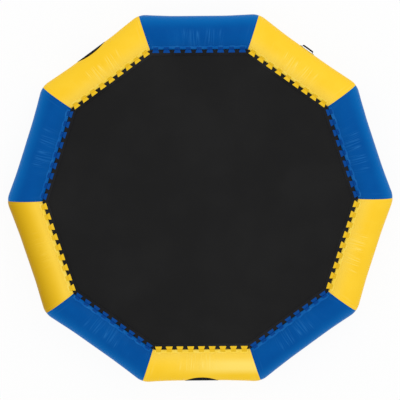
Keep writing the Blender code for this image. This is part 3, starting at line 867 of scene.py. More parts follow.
@dataclass(frozen=True)
class TubeRing:
    """The ten mitred tube segments, an inflated skin of coated fabric."""

    plan: RingPlan
    columns: int = 220
    rows: int = 96
    crowding: float = 0.4
    wall: float = 0.0009
    wrinkle: float = 0.0036
    pucker: float = 0.0032
    swell: float = 0.0022
    lap: float = 0.0011
    lap_edge: float = 0.002
    seat_flat: float = 0.046
    seat_reach: float = 0.080
    valve_hole: float = 0.027
    merge: float = 0.0002
    surfaces: dict[int, BVHTree] = field(default_factory=dict)

    def tree(self) -> Tree:
        """Build the tree that shapes one segment in its side's own frame.

        Returns:
            The tree, whose inputs are the segment's sizes.
        """
        plan = self.plan
        lengths = {
            "Apothem": plan.apothem,
            "Height": plan.height,
            "Radius": plan.radius,
            "Bow": plan.bow,
            "Neck": plan.neck,
            "Wrinkle": self.wrinkle,
            "Pucker": self.pucker,
            "Swell": self.swell,
            "Lap": self.lap,
            "Seed": 0.0,
            "Seat": 0.0,
            "Hole": 0.0,
        }
        sizes = [("Columns", SocketKind.INT, self.columns), ("Rows", SocketKind.INT, self.rows)]
        sizes += [(name, SocketKind.FLOAT, length) for name, length in lengths.items()]
        graph, given, result = geometry_tree("tube_segment", sizes)
        count = {"Vertices X": given["Columns"], "Vertices Y": given["Rows"]}
        grid = graph.node("GeometryNodeMeshGrid", {"Size X": 2.0, "Size Y": math.tau, **count})
        flat, angle, _ = graph.parts(graph.node("GeometryNodeInputPosition").outputs[0])
        crowded = graph.maths("SINE", graph.times(flat, math.pi / 2))
        crowded = graph.times(crowded, self.crowding)
        share = graph.add(graph.times(flat, 1.0 - self.crowding), crowded)
        reach = graph.size(share)
        cosine, sine = graph.maths("COSINE", angle), graph.maths("SINE", angle)
        weight = graph.maths("POWER", graph.maths("MAXIMUM", cosine, 0.0), 2.0)
        along = graph.times(share, given["Apothem"], plan.mitre)
        seam = graph.times(graph.take(1.0, reach), given["Apothem"], plan.mitre)
        bow = graph.take(1.0, graph.ramp(reach, plan.bow_start, plan.bow_end))
        neck = graph.maths("POWER", graph.ramp(reach, plan.neck_start, 1.0, smooth=False), 2.0)
        radius = graph.take(given["Radius"], graph.times(given["Neck"], weight, neck))
        radius = graph.add(radius, self.relief(graph, given, along, seam, angle))
        out = graph.add(given["Apothem"], graph.times(radius, cosine))
        out = graph.take(out, graph.times(given["Bow"], weight, bow))
        up = graph.add(given["Height"], graph.times(radius, sine))
        up = graph.maths("MAXIMUM", up, plan.floor_gap)
        place = graph.vector(out, graph.times(share, out, plan.mitre), up)
        place = self.seated(graph, given, place)
        measure = graph.vector(along, graph.times(angle, given["Radius"]), seam)
        skinned = with_skin(graph, grid.outputs["Mesh"], measure, "CORNER")
        moved = graph.node("GeometryNodeSetPosition", {"Geometry": skinned, "Position": place})
        here = graph.node("GeometryNodeInputPosition").outputs[0]
        away = graph.vectors("DISTANCE", here, tuple(plan.valve_seat))
        inside = graph.maths("LESS_THAN", away, given["Hole"])
        cut = {"Geometry": moved.outputs[0], "Selection": inside}
        opened = graph.node("GeometryNodeDeleteGeometry", cut, domain="FACE")
        near = {"Geometry": opened.outputs[0], "Distance": self.merge}
        merged = graph.node("GeometryNodeMergeByDistance", near)
        close_tree(graph, merged.outputs[0], given["Finish"], result)
        return graph.tree

    def seated(self, graph: Graph, given: dict[str, Socket], place: Socket) -> Socket:
        """Press the skin flat where the valve's flange is welded on.

        Args:
            graph: The tree being built.
            given: The tree's inputs.
            place: Where the skin lies without the valve.

        Returns:
            Where it lies with it.
        """
        plan = self.plan
        offset = graph.vectors("SUBTRACT", place, tuple(plan.valve_seat))
        proud = graph.vectors("DOT_PRODUCT", offset, tuple(plan.valve_axis))
        near = graph.ramp(graph.vectors("LENGTH", offset), self.seat_reach, self.seat_flat)
        drop = graph.times(graph.maths("MAXIMUM", proud, 0.0), near, given["Seat"])
        return graph.vectors("ADD", place, graph.scaled(tuple(-plan.valve_axis), drop))

    def relief(
        self, graph: Graph, given: dict[str, Socket], along: Socket, seam: Socket, angle: Socket
    ) -> Socket:
        """Height of the skin's wrinkles, puckers and soft swells.

        Args:
            graph: The tree being built.
            given: The tree's inputs.
            along: Metres along the side.
            seam: Metres from the nearer seam.
            angle: Angle round the tube.

        Returns:
            The height, in metres.
        """
        sine = graph.maths("SINE", angle)
        across = graph.times(graph.maths("COSINE", angle), given["Radius"])
        upward = graph.times(sine, given["Radius"])
        reach = graph.size(along)
        drawn = graph.vector(
            graph.add(along, given["Seed"]), graph.times(across, 0.06), graph.times(upward, 0.06)
        )
        folds = graph.add(
            graph.times(graph.uneven(drawn, 34.0, 1.0), 1.3),
            graph.times(graph.uneven(drawn, 82.0, 1.0), 0.6),
        )
        rises, falls = (tuple(map(math.radians, ends)) for ends in ((68, 88), (130, 118)))
        crown = graph.window(angle, rises, falls)
        wrinkles = graph.times(folds, given["Wrinkle"], crown, graph.ramp(reach, 0.36, 0.08))
        gathered = graph.vector(graph.add(graph.times(along, 0.16), given["Seed"]), across, upward)
        fade = graph.maths("EXPONENT", graph.times(seam, -1.0 / 0.055))
        fade = graph.times(fade, graph.ramp(seam, 0.0, 0.014))
        puckers = graph.times(graph.uneven(gathered, 30.0, 2.0), given["Pucker"], fade)
        wide = graph.vector(graph.add(graph.times(along, 0.7), given["Seed"], 3.0), across, upward)
        ends = graph.ramp(seam, 0.0, 0.09)
        quiet = graph.maths("MAXIMUM", graph.ramp(reach, 0.22, 0.34), graph.ramp(sine, 0.60, 0.85))
        swells = graph.times(graph.uneven(wide, 5.0, 1.0), given["Swell"], ends, quiet)
        welded = graph.ramp(seam, self.plan.seam_lap + self.lap_edge, self.plan.seam_lap)
        return graph.add(wrinkles, puckers, swells, graph.times(given["Lap"], welded))

    def dress(self, finishes: Finishes) -> None:
        """Build every segment and put it in place of its solid.

        Args:
            finishes: The bouncer's materials.
        """
        tree = self.tree()
        for side in range(self.plan.sides):
            tone = self.plan.tone(side)
            valved = side == self.plan.valve_side
            values = {
                "Lap": self.lap if tone is Tone.YELLOW else 0.0,
                "Seed": 1.7 * side + 0.3,
                "Seat": 1.0 if valved else 0.0,
                "Hole": self.valve_hole if valved else 0.0,
                "Finish": finishes.fabric[tone],
            }
            name = f"skin_{tone.value}_{side // 2 + 1}"
            mesh = run_tree(name, tree, values, wall=self.wall)
            corners = [vertex.co.copy() for vertex in mesh.vertices]
            faces = [face.vertices[:] for face in mesh.polygons]
            self.surfaces[side] = BVHTree.FromPolygons(corners, faces)
            piece(
                name,
                mesh,
                finishes.fabric[tone],
                RING_BODY,
                [self.plan.tube_node(side)],
                sharp=60.0,
                turn=self.plan.turn(side),
            )

    def touch(self, side: int, along: float, angle: float, lift: float = 0.0) -> Vector:
        """Point over the wrinkled skin of a segment, in its side's own frame.

        Args:
            side: The side.
            along: Metres along it from its middle.
            angle: Angle round the tube.
            lift: Distance out from the skin.

        Returns:
            The point.
        """
        outward = ray(angle)
        smooth = self.plan.skin(self.plan.share_at(along, angle), angle)
        hit = self.surfaces[side].ray_cast(smooth + outward * 0.05, -outward, 0.2)[0]
        return (hit if hit is not None else smooth) + outward * lift


@dataclass(frozen=True)
class Lacing:
    """Hems with their tabs, the lacing rope, and the webbing bands with their loops."""

    ring: TubeRing
    pitch: float = 0.127
    tabs: int = 9
    hem_reach: float = 0.557
    hem_low: float = math.radians(137.9)
    hem_high: float = math.radians(123.6)
    hem_lift: float = 0.0021
    hem_wall: float = 0.0014
    billow: float = 0.0014
    ruffle: float = 0.0008
    scallop: float = 0.010
    ripple: float = 0.021
    tab_root: float = 0.058
    tab_end: float = 0.084
    tab_wall: float = 0.0012
    lip_end: float = 1.7370
    rope_apothem: float = 1.76483
    rope_height: float = 0.39727
    rope_radius: float = 0.0060
    rope_corner: float = 0.045
    loop_radius: float = 0.0076
    loop_width: float = 0.050
    loop_wall: float = 0.0014
    band_inner: float = 1.70483
    band_outer: float = 1.75550
    band_top: float = 0.39927
    band_wall: float = 0.0040
    mitre_gap: float = 0.0002
    seam_insets: tuple[float, ...] = (0.006, 0.015, 0.025)
    seam_end: float = 0.012
    seam_lift: float = 0.0003
    stitch_pitch: float = 0.0085
    stitch_length: float = 0.0062
    stitch_radius: float = 0.0007
    stitch_play: float = 0.05

    def round_rope(self, start: float, end: float, steps: int, radius: float) -> list[Spot]:
        """Points on a circle round the rope, as apothem and height.

        Args:
            start: First angle, in degrees from outwards.
            end: Last angle.
            steps: Number of steps.
            radius: Of the circle.

        Returns:
            The points.
        """
        return [
            (self.rope_apothem + radius * x, self.rope_height + radius * z)
            for x, z in arc(start, end, steps)
        ]

    def over_skin(self, places: Iterable[Spot]) -> list[Spot]:
        """Points over the tube from angles in degrees and lifts, as apothem and height."""
        spots = [self.ring.plan.skin(0.0, math.radians(angle), lift) for angle, lift in places]
        return [(spot.x, spot.z) for spot in spots]

    def flange(self, side: int) -> Mesh:
        """Welded strip of the hem on one side, puckered where the tabs pull.

        Args:
            side: The side.

        Returns:
            Its mesh, in the side's own frame.
        """
        rows = []
        for along in evenly(-self.hem_reach, self.hem_reach, 176):
            pull = 0.5 - 0.5 * math.cos(math.tau * along / self.pitch)
            wave = 0.5 + 0.5 * math.sin(math.tau * along / self.ripple + 1.3 * side)
            top = self.hem_high + self.scallop * pull / self.ring.plan.radius
            upper, lower = [], []
            for share in evenly(0.0, 1.0, 8):
                free = 1.0 - abs(2.0 * share - 1.0)
                edge = max(1.0 - 5.0 * share, 0.0)
                lift = self.hem_lift + self.billow * pull * free + self.ruffle * wave * edge
                angle = top + (self.hem_low - top) * share
                spot = self.ring.touch(side, along, angle, lift)
                upper.append(spot)
                lower.append(spot - self.hem_wall * ray(angle))
            rows.append(upper + lower[::-1])
        return capped(grid_mesh("flange", rows, ring=True))

    def tab(self) -> Mesh:
        """One tab, in a side's own frame and in the middle of it.

        Its two layers pass over and under the rope and are welded into a lip that lies on the band.

        Returns:
            Its mesh.
        """
        wall, end, top = self.tab_wall, self.lip_end, self.band_top
        upper = [(129.5, 0.0034), (132.5, 0.0044), (135.5, 0.0044), (137.4, 0.0046)]
        lower = [(139.6, 0.0016), (140.6, 0.0014)]
        lip = [(0.0170, 0.0056), (0.0110, 0.0042), (0.0050, 0.0036), (0.0014, 0.0034)]
        lip += [(0.0, 0.0024), (0.0004, 0.0010), (0.0060, 0.0007), (0.0180, 0.0007)]
        path = self.over_skin([(angle, lift + wall) for angle, lift in upper])
        root = path[-1][0]
        path += self.round_rope(66.0, 102.0, 4, self.loop_radius + wall)
        path += [(end + out, top + up) for out, up in lip]
        path += self.round_rope(180.0, 290.0, 7, self.loop_radius + wall)
        path += self.over_skin([(angle, lift + wall) for angle, lift in lower] + lower[::-1])
        path += self.round_rope(290.0, 68.0, 12, self.loop_radius)
        path += self.over_skin(upper[::-1])
        rows = []
        for share in evenly(-1.0, 1.0, 10):
            dip = 0.0007 * math.cos(2.5 * math.pi * share)
            row = []
            for out, up in path:
                reach = held((root - out) / (root - end))
                half = 0.5 * (self.tab_root + (self.tab_end - self.tab_root) * reach)
                half -= 0.0030 * max(1.0 - (out - end) / 0.004, 0.0)
                row.append(Vector((out, share * half, up + dip * (1.0 - reach))))
            rows.append(row)
        return capped(grid_mesh("tab", rows, ring=True, mark=1.0))

    def loop(self) -> Mesh:
        """One webbing loop, in a side's own frame and in the middle of it.

        Returns:
            Its mesh.
        """
        edge, top, low = self.band_outer, self.band_top, self.band_top - self.band_wall
        over = [(0.030, 0.0003), (0.016, 0.0006), (0.004, 0.0028)]
        under = [(0.004, 0.0024), (0.016, 0.0006), (0.030, 0.0003)]
        path = [(edge - inset, top + rise) for inset, rise in over]
        path += self.round_rope(108.0, -108.0, 12, self.loop_radius)
        path += [(edge - inset, low - fall) for inset, fall in under]
        across = [share * self.loop_width / 2 for share in evenly(-1.0, 1.0, 6)]
        rows = [[Vector((out, along, up)) for along in across] for out, up in path]
        return with_wall("loop", grid_mesh("loop", rows), self.loop_wall, 1.0)

    def band(self) -> Mesh:
        """Webbing band of one side, in its own frame, with mitred ends.

        Returns:
            Its mesh.
        """
        half = self.band_wall / 2
        middle = self.band_top - half
        inner, outer = self.band_inner, self.band_outer
        face = [(inner, half * 0.55), (inner + 0.0012, half)]
        face += [(outer - 0.0014, half), (outer, half * 0.4)]
        section = [(out, middle + rise) for out, rise in face]
        section += [(out, middle - rise) for out, rise in face[::-1]]
        rows = []
        for share in evenly(-1.0, 1.0, 60):
            row = []
            for out, up in section:
                row.append(Vector((out, share * (out * self.ring.plan.mitre - self.mitre_gap), up)))
            rows.append(row)
        return capped(grid_mesh("band", rows, ring=True))

    def rope_path(self) -> Mesh:
        """Closed line of points along the rope, with its corners rounded.

        Returns:
            A mesh of edges.
        """
        plan = self.ring.plan
        apothem, corner, up = self.rope_apothem, self.rope_corner, self.rope_height
        half = apothem * plan.mitre - corner * math.tan(plan.corner)
        line = [(apothem, along) for along in evenly(-half, half, 40)]
        for step in (1, 2, 3):
            angle = 2.0 * plan.corner * step / 4
            out = apothem - corner * (1.0 - math.cos(angle))
            line.append((out, half + corner * math.sin(angle)))
        points = []
        for side in range(plan.sides):
            points += [plan.turn(side) @ Vector((out, along, up)) for out, along in line]
        return line_mesh("rope_path", points, closed=True)

    def seams(self, side: int, bench: Bench, thread: Material) -> list[Mesh]:
        """Rows of stitches along one side's band, in its own frame.

        Args:
            side: The side.
            bench: The shared trees.
            thread: The sewing thread.

        Returns:
            A mesh for each row.
        """
        reach = self.band_inner * self.ring.plan.mitre - self.seam_end
        count = int(2.0 * reach / self.stitch_pitch)
        up = self.band_top + self.seam_lift
        seed, play, pitch = 40 + side, self.stitch_play, self.stitch_pitch
        made = []
        for inset in self.seam_insets:
            stitch = stitch_mesh(self.stitch_length, self.stitch_radius)
            place = (self.band_inner + inset, up)
            made.append(bench.row("seam", stitch, count, pitch, thread, seed, play, place))
        return made

    def dress(self, finishes: Finishes, bench: Bench) -> None:
        """Build the hems, bands and rope and put them in place of their solids.

        Args:
            finishes: The bouncer's materials.
            bench: The shared trees.
        """
        plan = self.ring.plan
        for side in range(plan.sides):
            tone, turn, number = plan.tone(side), plan.turn(side), side + 1
            fabric, webbing, thread = finishes.hem[tone], finishes.webbing, finishes.thread
            name, slot = f"hem_{number}", f"pvc_{tone.value}"
            tabs = bench.row("tabs", self.tab(), self.tabs, self.pitch, fabric, side)
            hem = joined(name, [self.flange(side), tabs])
            piece(name, hem, fabric, RING_BODY, [f"lacing_hem_{number}"], turn=turn)
            name, solid = f"band_{number}", f"mat_loop_band_{number}"
            loops = bench.row("loops", self.loop(), self.tabs - 1, self.pitch, webbing, side)
            band = joined(name, [self.band(), loops])
            piece(name, band, webbing, RING_BODY, [solid], turn=turn)
            name = f"band_seams_{number}"
            sewn = joined(name, self.seams(side, bench, thread))
            piece(name, sewn, thread, RING_BODY, turn=turn)
        braid = finishes.braid
        rope = bench.rod("rope", self.rope_path(), self.rope_radius, 14, braid)
        piece("laced_rope", rope, braid, RING_BODY, ["lacing_rope"], sharp=180.0)


@dataclass(frozen=True)
class MatCloth:
    """The woven bounce mat: a middle that moves as one and ten panels that stretch to the edge."""

    plan: RingPlan
    edge: float = 1.70463
    core: float = 0.75
    top: float = 0.39905
    wall: float = 0.0016
    tuck: float = 0.020
    tuck_drop: float = 0.0040
    steps: int = 26

    def panel(self, side: int, name: str) -> Mesh:
        """Panel between the middle and one side's band.

        Args:
            side: The side.
            name: Name of the mesh.

        Returns:
            Its mesh.
        """
        turn = self.plan.turn(side)
        low = self.top - self.tuck_drop
        places = [(out, self.top) for out in evenly(self.core, self.edge - 0.006, self.steps)]
        places += [(self.edge - 0.003, self.top - 0.4 * self.tuck_drop)]
        places += [(self.edge, low), (self.edge + self.tuck, low)]
        rows = []
        for out, up in places:
            half = out * self.plan.mitre
            rows.append([turn @ Vector((out, along, up)) for along in evenly(-half, half, 24)])
        return with_wall(name, grid_mesh(name, rows), self.wall)

    def middle(self) -> Mesh:
        """The ten-sided middle of the mat.

        Returns:
            Its mesh.
        """
        rows = []
        for share in evenly(0.02, 1.0, 12):
            row = []
            for side in range(self.plan.sides):
                turn = self.plan.turn(side)
                half = share * self.core * self.plan.mitre
                for along in evenly(-half, half, 12)[:-1]:
                    row.append(turn @ Vector((share * self.core, along, self.top)))
            rows.append(row)
        mesh = grid_mesh("mat_middle", rows, ring=True)
        bm = bmesh.new()
        bm.from_mesh(mesh)
        rim = [edge for edge in bm.edges if edge.is_boundary and edge.verts[0].co.xy.length < 0.1]
        bmesh.ops.contextual_create(bm, geom=rim)
        bm.to_mesh(mesh)
        bm.free()
        return with_wall("mat_middle", mesh, self.wall)

    def dress(self, cloth: Material) -> None:
        """Build the mat and put it in place of its solid.

        Args:
            cloth: The woven cloth.
        """
        middle = piece("mat_middle", self.middle(), cloth, MAT_BODY, ["bounce_mat"])
        for side in range(self.plan.sides):
            name = f"mat_panel_{side + 1}"
            panel = piece(name, self.panel(side, name), cloth, None, ["bounce_mat"])
            turn = self.plan.turn(side)
            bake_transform(panel)


@dataclass(frozen=True)
class Outline:
    """Rounded outline of a patch, measured along the side and round the tube."""

    half_along: float
    half_round: float
    power: float

    def at(self, angle: float) -> Spot:
        """Point of the outline.

        Args:
            angle: Where on the outline, as an angle.

        Returns:
            Its place along the side and round the tube.
        """
        share = 2.0 / self.power
        along = squared(math.cos(angle), share) * self.half_along
        return along, squared(math.sin(angle), share) * self.half_round


@dataclass(frozen=True)
class SkinPatch:
    """A patch welded on the skin of a tube, with a rounded edge and a pressed border."""

    ring: TubeRing
    side: int
    angle: float
    outline: Outline
    thickness: float
    border: float = 0.0008
    steps: int = 72

    def point(self, share: float, turn: float, lift: float) -> Vector:
        """Point over the patch.

        Args:
            share: How far out from its middle, 1 at the outline.
            turn: Where round the outline.
            lift: Height over the skin.

        Returns:
            The point, in the side's own frame.
        """
        along, rounds = self.outline.at(turn)
        angle = self.angle + share * rounds / self.ring.plan.radius
        return self.ring.touch(self.side, share * along, angle, lift)

    def mesh(self) -> Mesh:
        """Build the patch.

        Returns:
            A closed mesh in the side's own frame.
        """
        thick, rise = self.thickness, self.thickness + self.border
        levels = [(share, thick) for share in (0.02, 0.15, 0.30, 0.45, 0.60, 0.72, 0.82, 0.88)]
        levels += [(0.900, thick), (0.912, rise), (0.940, rise), (0.952, thick), (0.975, thick)]
        levels += [(0.992, thick * 0.85), (1.0, thick * 0.45), (1.0, 0.00005)]
        levels += [(0.70, -0.0004), (0.02, -0.0004)]
        rows = []
        for share, lift in levels:
            rows.append([self.point(share, turn, lift) for turn in turns(self.steps)])
        return capped(grid_mesh("patch", rows, ring=True))

    def seam(self, share: float, lift: float) -> Mesh:
        """Path of a seam that follows the outline.

        Args:
            share: How far out it runs.
            lift: Height over the skin.

        Returns:
            The path.
        """
        return line_mesh("seam", [self.point(share, turn, lift) for turn in turns(96)], closed=True)


@dataclass(frozen=True)
class HungRing:
    """A steel ring on its bar under a webbing keeper, on a patch of the tube."""

    ring: TubeRing
    side: int
    angle: float
    hinge: Spot
    patch: SkinPatch
    half_bar: float = 0.028
    drop: float = 0.040
    wire: float = 0.003
    wire_gap: float = 0.0004
    bend: float = 0.006
    keeper_half: float = 0.0165
    keeper_reach: float = 0.030
    keeper_wall: float = 0.0016
    box_across: Spot = (0.0155, 0.0275)
    box_half: float = 0.0135
    seam_lift: float = 0.0003

    def steel(self) -> Mesh:
        """The ring's path: its bar, its rounded corners and its bow.

        Returns:
            The path, in the side's own frame.
        """
        flat, bend = self.half_bar - self.bend, self.bend
        points = [(along, 0.0) for along in evenly(-flat, flat, 6)]
        points += [(flat + bend * x, bend * (z - 1.0)) for x, z in arc(80.0, 0.0, 5)]
        half, deep = self.half_bar, self.drop - bend
        points += [(half * x, -bend - deep * z) for x, z in arc(6.0, 174.0, 28)]
        points += [(-flat + bend * x, bend * (z - 1.0)) for x, z in arc(180.0, 100.0, 5)]
        out, up = self.hinge
        path = [Vector((out, along, up + rise)) for along, rise in points]
        return line_mesh("ring_path", path, closed=True)

    def keeper(self) -> Mesh:
        """The webbing that holds the bar down.

        Returns:
            Its mesh, in the side's own frame.
        """
        plan = self.ring.plan
        foot = self.patch.thickness + self.keeper_wall / 2 + 0.0002
        centre = Vector((plan.apothem, 0.0, plan.height))
        spot = Vector((self.hinge[0], 0.0, self.hinge[1]))
        below, outward = plan.skin(0.0, self.angle), ray(self.angle)
        rise = (spot - centre).dot(outward) - (below - centre).dot(outward)
        shift = (spot - below).dot(Vector((-outward.z, 0.0, outward.x)))
        radius = self.wire + self.wire_gap + self.keeper_wall / 2
        feet = [(self.keeper_reach, foot), (0.022, foot), (0.0145, foot), (0.0095, foot + 0.0006)]
        path = [(-across, height) for across, height in feet]
        path += [(radius * x, rise + radius * z) for x, z in arc(158.0, 22.0, 9)]
        path += feet[::-1]
        rows = []
        for across, height in path:
            angle = self.angle + (across + shift) / plan.radius
            row = []
            for share in evenly(-1.0, 1.0, 6):
                row.append(self.ring.touch(self.side, share * self.keeper_half, angle, height))
            rows.append(row)
        return with_wall("keeper", grid_mesh("keeper", rows), self.keeper_wall, 0.0)

    def box_seams(self) -> list[Mesh]:
        """Paths of the boxes sewn through both feet of the keeper.

        Returns:
            The paths.
        """
        lift = self.patch.thickness + self.keeper_wall + self.seam_lift
        near, far, half = *self.box_across, self.box_half
        paths = []
        for sign in (-1.0, 1.0):
            corners = []
            for across, along in ((near, -half), (far, -half), (far, half), (near, half)):
                corners.append((self.angle + sign * across / self.ring.plan.radius, along))
            points = []
            for (a0, y0), (a1, y1) in zip(corners, corners[1:] + corners[:1]):
                for share in evenly(0.0, 1.0, 4)[:-1]:
                    angle, along = a0 + (a1 - a0) * share, y0 + (y1 - y0) * share
                    points.append(self.ring.touch(self.side, along, angle, lift))
            paths.append(line_mesh("box", points, closed=True))
        return paths


@dataclass(frozen=True)
class Hardware:
    """Every ring on its patch: five to anchor by, two for what is hung on the outside."""

    ring: TubeRing
    anchor_angle: float = math.radians(225.0)
    anchor_hinge: Spot = (1.78231, 0.06293)
    anchor_shape: Outline = Outline(0.080, 0.040, 5.0)
    anchor_wall: float = 0.0016
    pad_ring_angle: float = math.radians(-22.5)
    pad_hinge: Spot = (2.16127, 0.14256)
    pad_tops: Spot = (0.3600, 0.4040)
    pad_foot: float = 0.0674
    pad_half: float = 0.208
    pad_power: float = 2.15
    pad_wall: float = 0.0022

    def dress(self, finishes: Finishes, bench: Bench) -> None:
        """Build every ring, keeper and patch and put them in place of their solids.

        Args:
            finishes: The bouncer's materials.
            bench: The shared trees.
        """
        plan = self.ring.plan
        for number, side in enumerate(range(0, plan.sides, 2), start=1):
            angle = self.anchor_angle
            patch = SkinPatch(self.ring, side, angle, self.anchor_shape, self.anchor_wall)
            hung = HungRing(self.ring, side, angle, self.anchor_hinge, patch)
            names = (f"anchor_{number}", f"anchor_patch_{number}", f"anchor_ring_{number}")
            self.fit(hung, names, finishes.hem[Tone.BLUE], finishes, bench)
        low = math.asin((self.pad_foot - plan.height) / plan.radius)
        for number, (side, top) in enumerate(zip(plan.pad_sides, self.pad_tops), start=1):
            high = math.asin((top - plan.height) / plan.radius)
            shape = Outline(self.pad_half, (high - low) / 2 * plan.radius, self.pad_power)
            patch = SkinPatch(self.ring, side, (high + low) / 2, shape, self.pad_wall, steps=120)
            hung = HungRing(self.ring, side, self.pad_ring_angle, self.pad_hinge, patch)
            names = (f"accessory_{number}", f"accessory_pad_{number}", f"accessory_ring_{number}")
            edge = patch.seam(0.963, patch.thickness + 0.0002)
            border = bench.sewn([edge], 0.0080, 0.0062, 0.0012, finishes.thread)
            self.fit(hung, names, finishes.rubber, finishes, bench, border)

    def fit(
        self,
        hung: HungRing,
        names: tuple[str, str, str],
        finish: Material,
        finishes: Finishes,
        bench: Bench,
        border: Sequence[Mesh] = (),
    ) -> None:
        """Put one ring with its patch and keeper in the scene.

        Args:
            hung: The ring.
            names: The body that it moves with, the patch's solid and the ring's.
            finish: The patch's finish.
            finishes: The bouncer's materials.
            bench: The shared trees.
            border: Stitches round the patch, if it has any.
        """
        name, base, ring = names
        turn = hung.ring.plan.turn(hung.side)
        webbing, thread, steel = finishes.webbing, finishes.thread, finishes.steel
        piece(f"{name}_patch", hung.patch.mesh(), finish, RING_BODY, [base], turn=turn)
        piece(f"{name}_keeper", hung.keeper(), webbing, RING_BODY, [base], turn=turn)
        seams = bench.sewn(hung.box_seams(), 0.0046, 0.0036, 0.0012, thread)
        sewn = joined(f"{name}_seams", [*seams, *border])
        piece(f"{name}_seams", sewn, thread, RING_BODY, turn=turn)
        bow = bench.rod(f"{name}_steel", hung.steel(), hung.wire, 16, steel)
        piece(f"{name}_steel", bow, steel, name, [ring], sharp=180.0, turn=turn)


@dataclass(frozen=True)
class GrabHandle:
    """Outer handle: a patch, a standing webbing strap and a ribbed grip."""

    ring: TubeRing
    stand_off: float = 0.0215
    crest: float = 0.0012
    half_bar: float = 0.066
    leg_start: float = 0.0672
    foot_start: float = 0.0785
    foot_end: float = 0.0965
    strap_width: float = 0.025
    strap_wall: float = 0.0026
    patch_wall: float = 0.0014
    patch_half_length: float = 0.103
    patch_half_height: float = 0.026
    grip_length: float = 0.154
    grip_half_width: float = 0.0161
    grip_half_thick: float = 0.0095
    rib_pitch: float = 0.0066
    rib_depth: float = 0.075
    box_along: Spot = (0.0790, 0.0945)
    box_half: float = 0.0100

    def height(self, along: float) -> float:
        """Height of the strap's middle over the skin.

        Args:
            along: Metres from the handle's middle.

        Returns:
            The height.
        """
        reach = abs(along)
        foot = self.patch_wall + self.strap_wall / 2 + 0.0002
        inward = min(reach, self.half_bar) / self.half_bar
        crest = self.stand_off + self.crest * (1.0 - inward**2)
        share = eased(held((reach - self.leg_start) / (self.foot_start - self.leg_start)))
        return crest + (foot - crest) * share

    def strap(self) -> Mesh:
        """The strap, sewn down at both feet.

        Returns:
            Its mesh, in the side's own frame.
        """
        half = self.strap_width / 2
        rows = []
        for along in evenly(-self.foot_end, self.foot_end, 90):
            spot = self.ring.touch(self.ring.plan.handle_side, along, 0.0, self.height(along))
            rows.append([spot + Vector((0.0, 0.0, share * half)) for share in evenly(1.0, -1.0, 6)])
        return with_wall("strap", grid_mesh("strap", rows), self.strap_wall, 0.0)

    def grip(self) -> Mesh:
        """The ribbed grip that the strap runs through.

        Returns:
            Its mesh, in the side's own frame.
        """
        half = self.grip_length / 2
        rows = []
        for along in evenly(-half, half, 110):
            height = self.height(along)
            spot = self.ring.touch(self.ring.plan.handle_side, along, 0.0, height)
            end = min((half - abs(along)) / 0.003, 1.0)
            rounding = math.sqrt(max(1.0 - (1.0 - end) ** 2, 0.0)) * 0.25 + 0.75
            wave = 0.5 - 0.5 * math.cos(math.tau * along / self.rib_pitch)
            rib = 1.0 - self.rib_depth * wave * (abs(along) < half - 0.007)
            row = []
            for turn in turns(28):
                wide = squared(math.cos(turn), 0.55) * self.grip_half_width * rounding
                thick = squared(math.sin(turn), 0.75) * self.grip_half_thick * rounding * rib
                thick = max(thick, self.patch_wall + 0.0006 - height)
                row.append(spot + Vector((thick, 0.0, wide)))
            rows.append(row)
        return capped(grid_mesh("grip", rows, ring=True))

    def seams(self) -> list[Mesh]:
        """Paths of the boxes and crosses sewn through the feet.

        Returns:
            The paths.
        """
        lift = self.patch_wall + self.strap_wall + 0.0005
        near, far, half = *self.box_along, self.box_half
        paths = []
        for sign in (-1.0, 1.0):
            corners = [(near, half), (far, half), (far, -half), (near, -half)]
            spots = [(sign * along, up) for along, up in corners]
            for first, second in ((0, 1), (1, 2), (2, 3), (3, 0), (0, 2), (1, 3)):
                (y0, z0), (y1, z1) = spots[first], spots[second]
                points = []
                for share in evenly(0.0, 1.0, 4):
                    along, up = y0 + (y1 - y0) * share, z0 + (z1 - z0) * share
                    base = self.ring.touch(self.ring.plan.handle_side, along, 0.0, lift)
                    points.append(base + Vector((0.0, 0.0, up)))
                paths.append(line_mesh("box", points))
        return paths

    def dress(self, finishes: Finishes, bench: Bench) -> None:
        """Build the handle and put it in place of its solids.

        Args:
            finishes: The bouncer's materials.
            bench: The shared trees.
        """
        side = self.ring.plan.handle_side
        turn = self.ring.plan.turn(side)
        rubber, webbing, thread = finishes.rubber, finishes.webbing, finishes.thread
        outline = Outline(self.patch_half_length, self.patch_half_height, 4.0)
        patch = SkinPatch(self.ring, side, 0.0, outline, self.patch_wall).mesh()
        sewn = joined("handle_seams", bench.sewn(self.seams(), 0.0040, 0.0032, 0.0011, thread))
        strap, grip = self.strap(), self.grip()
        piece("handle_base", patch, rubber, RING_BODY, ["handle_patch"], turn=turn)
        piece(
            "handle_webbing", strap, webbing, RING_BODY, ["handle_strap"], turn=turn
        )
        piece("handle_grip", grip, rubber, RING_BODY, ["handle_sleeve"], turn=turn)
        piece("handle_seams", sewn, thread, RING_BODY, turn=turn)


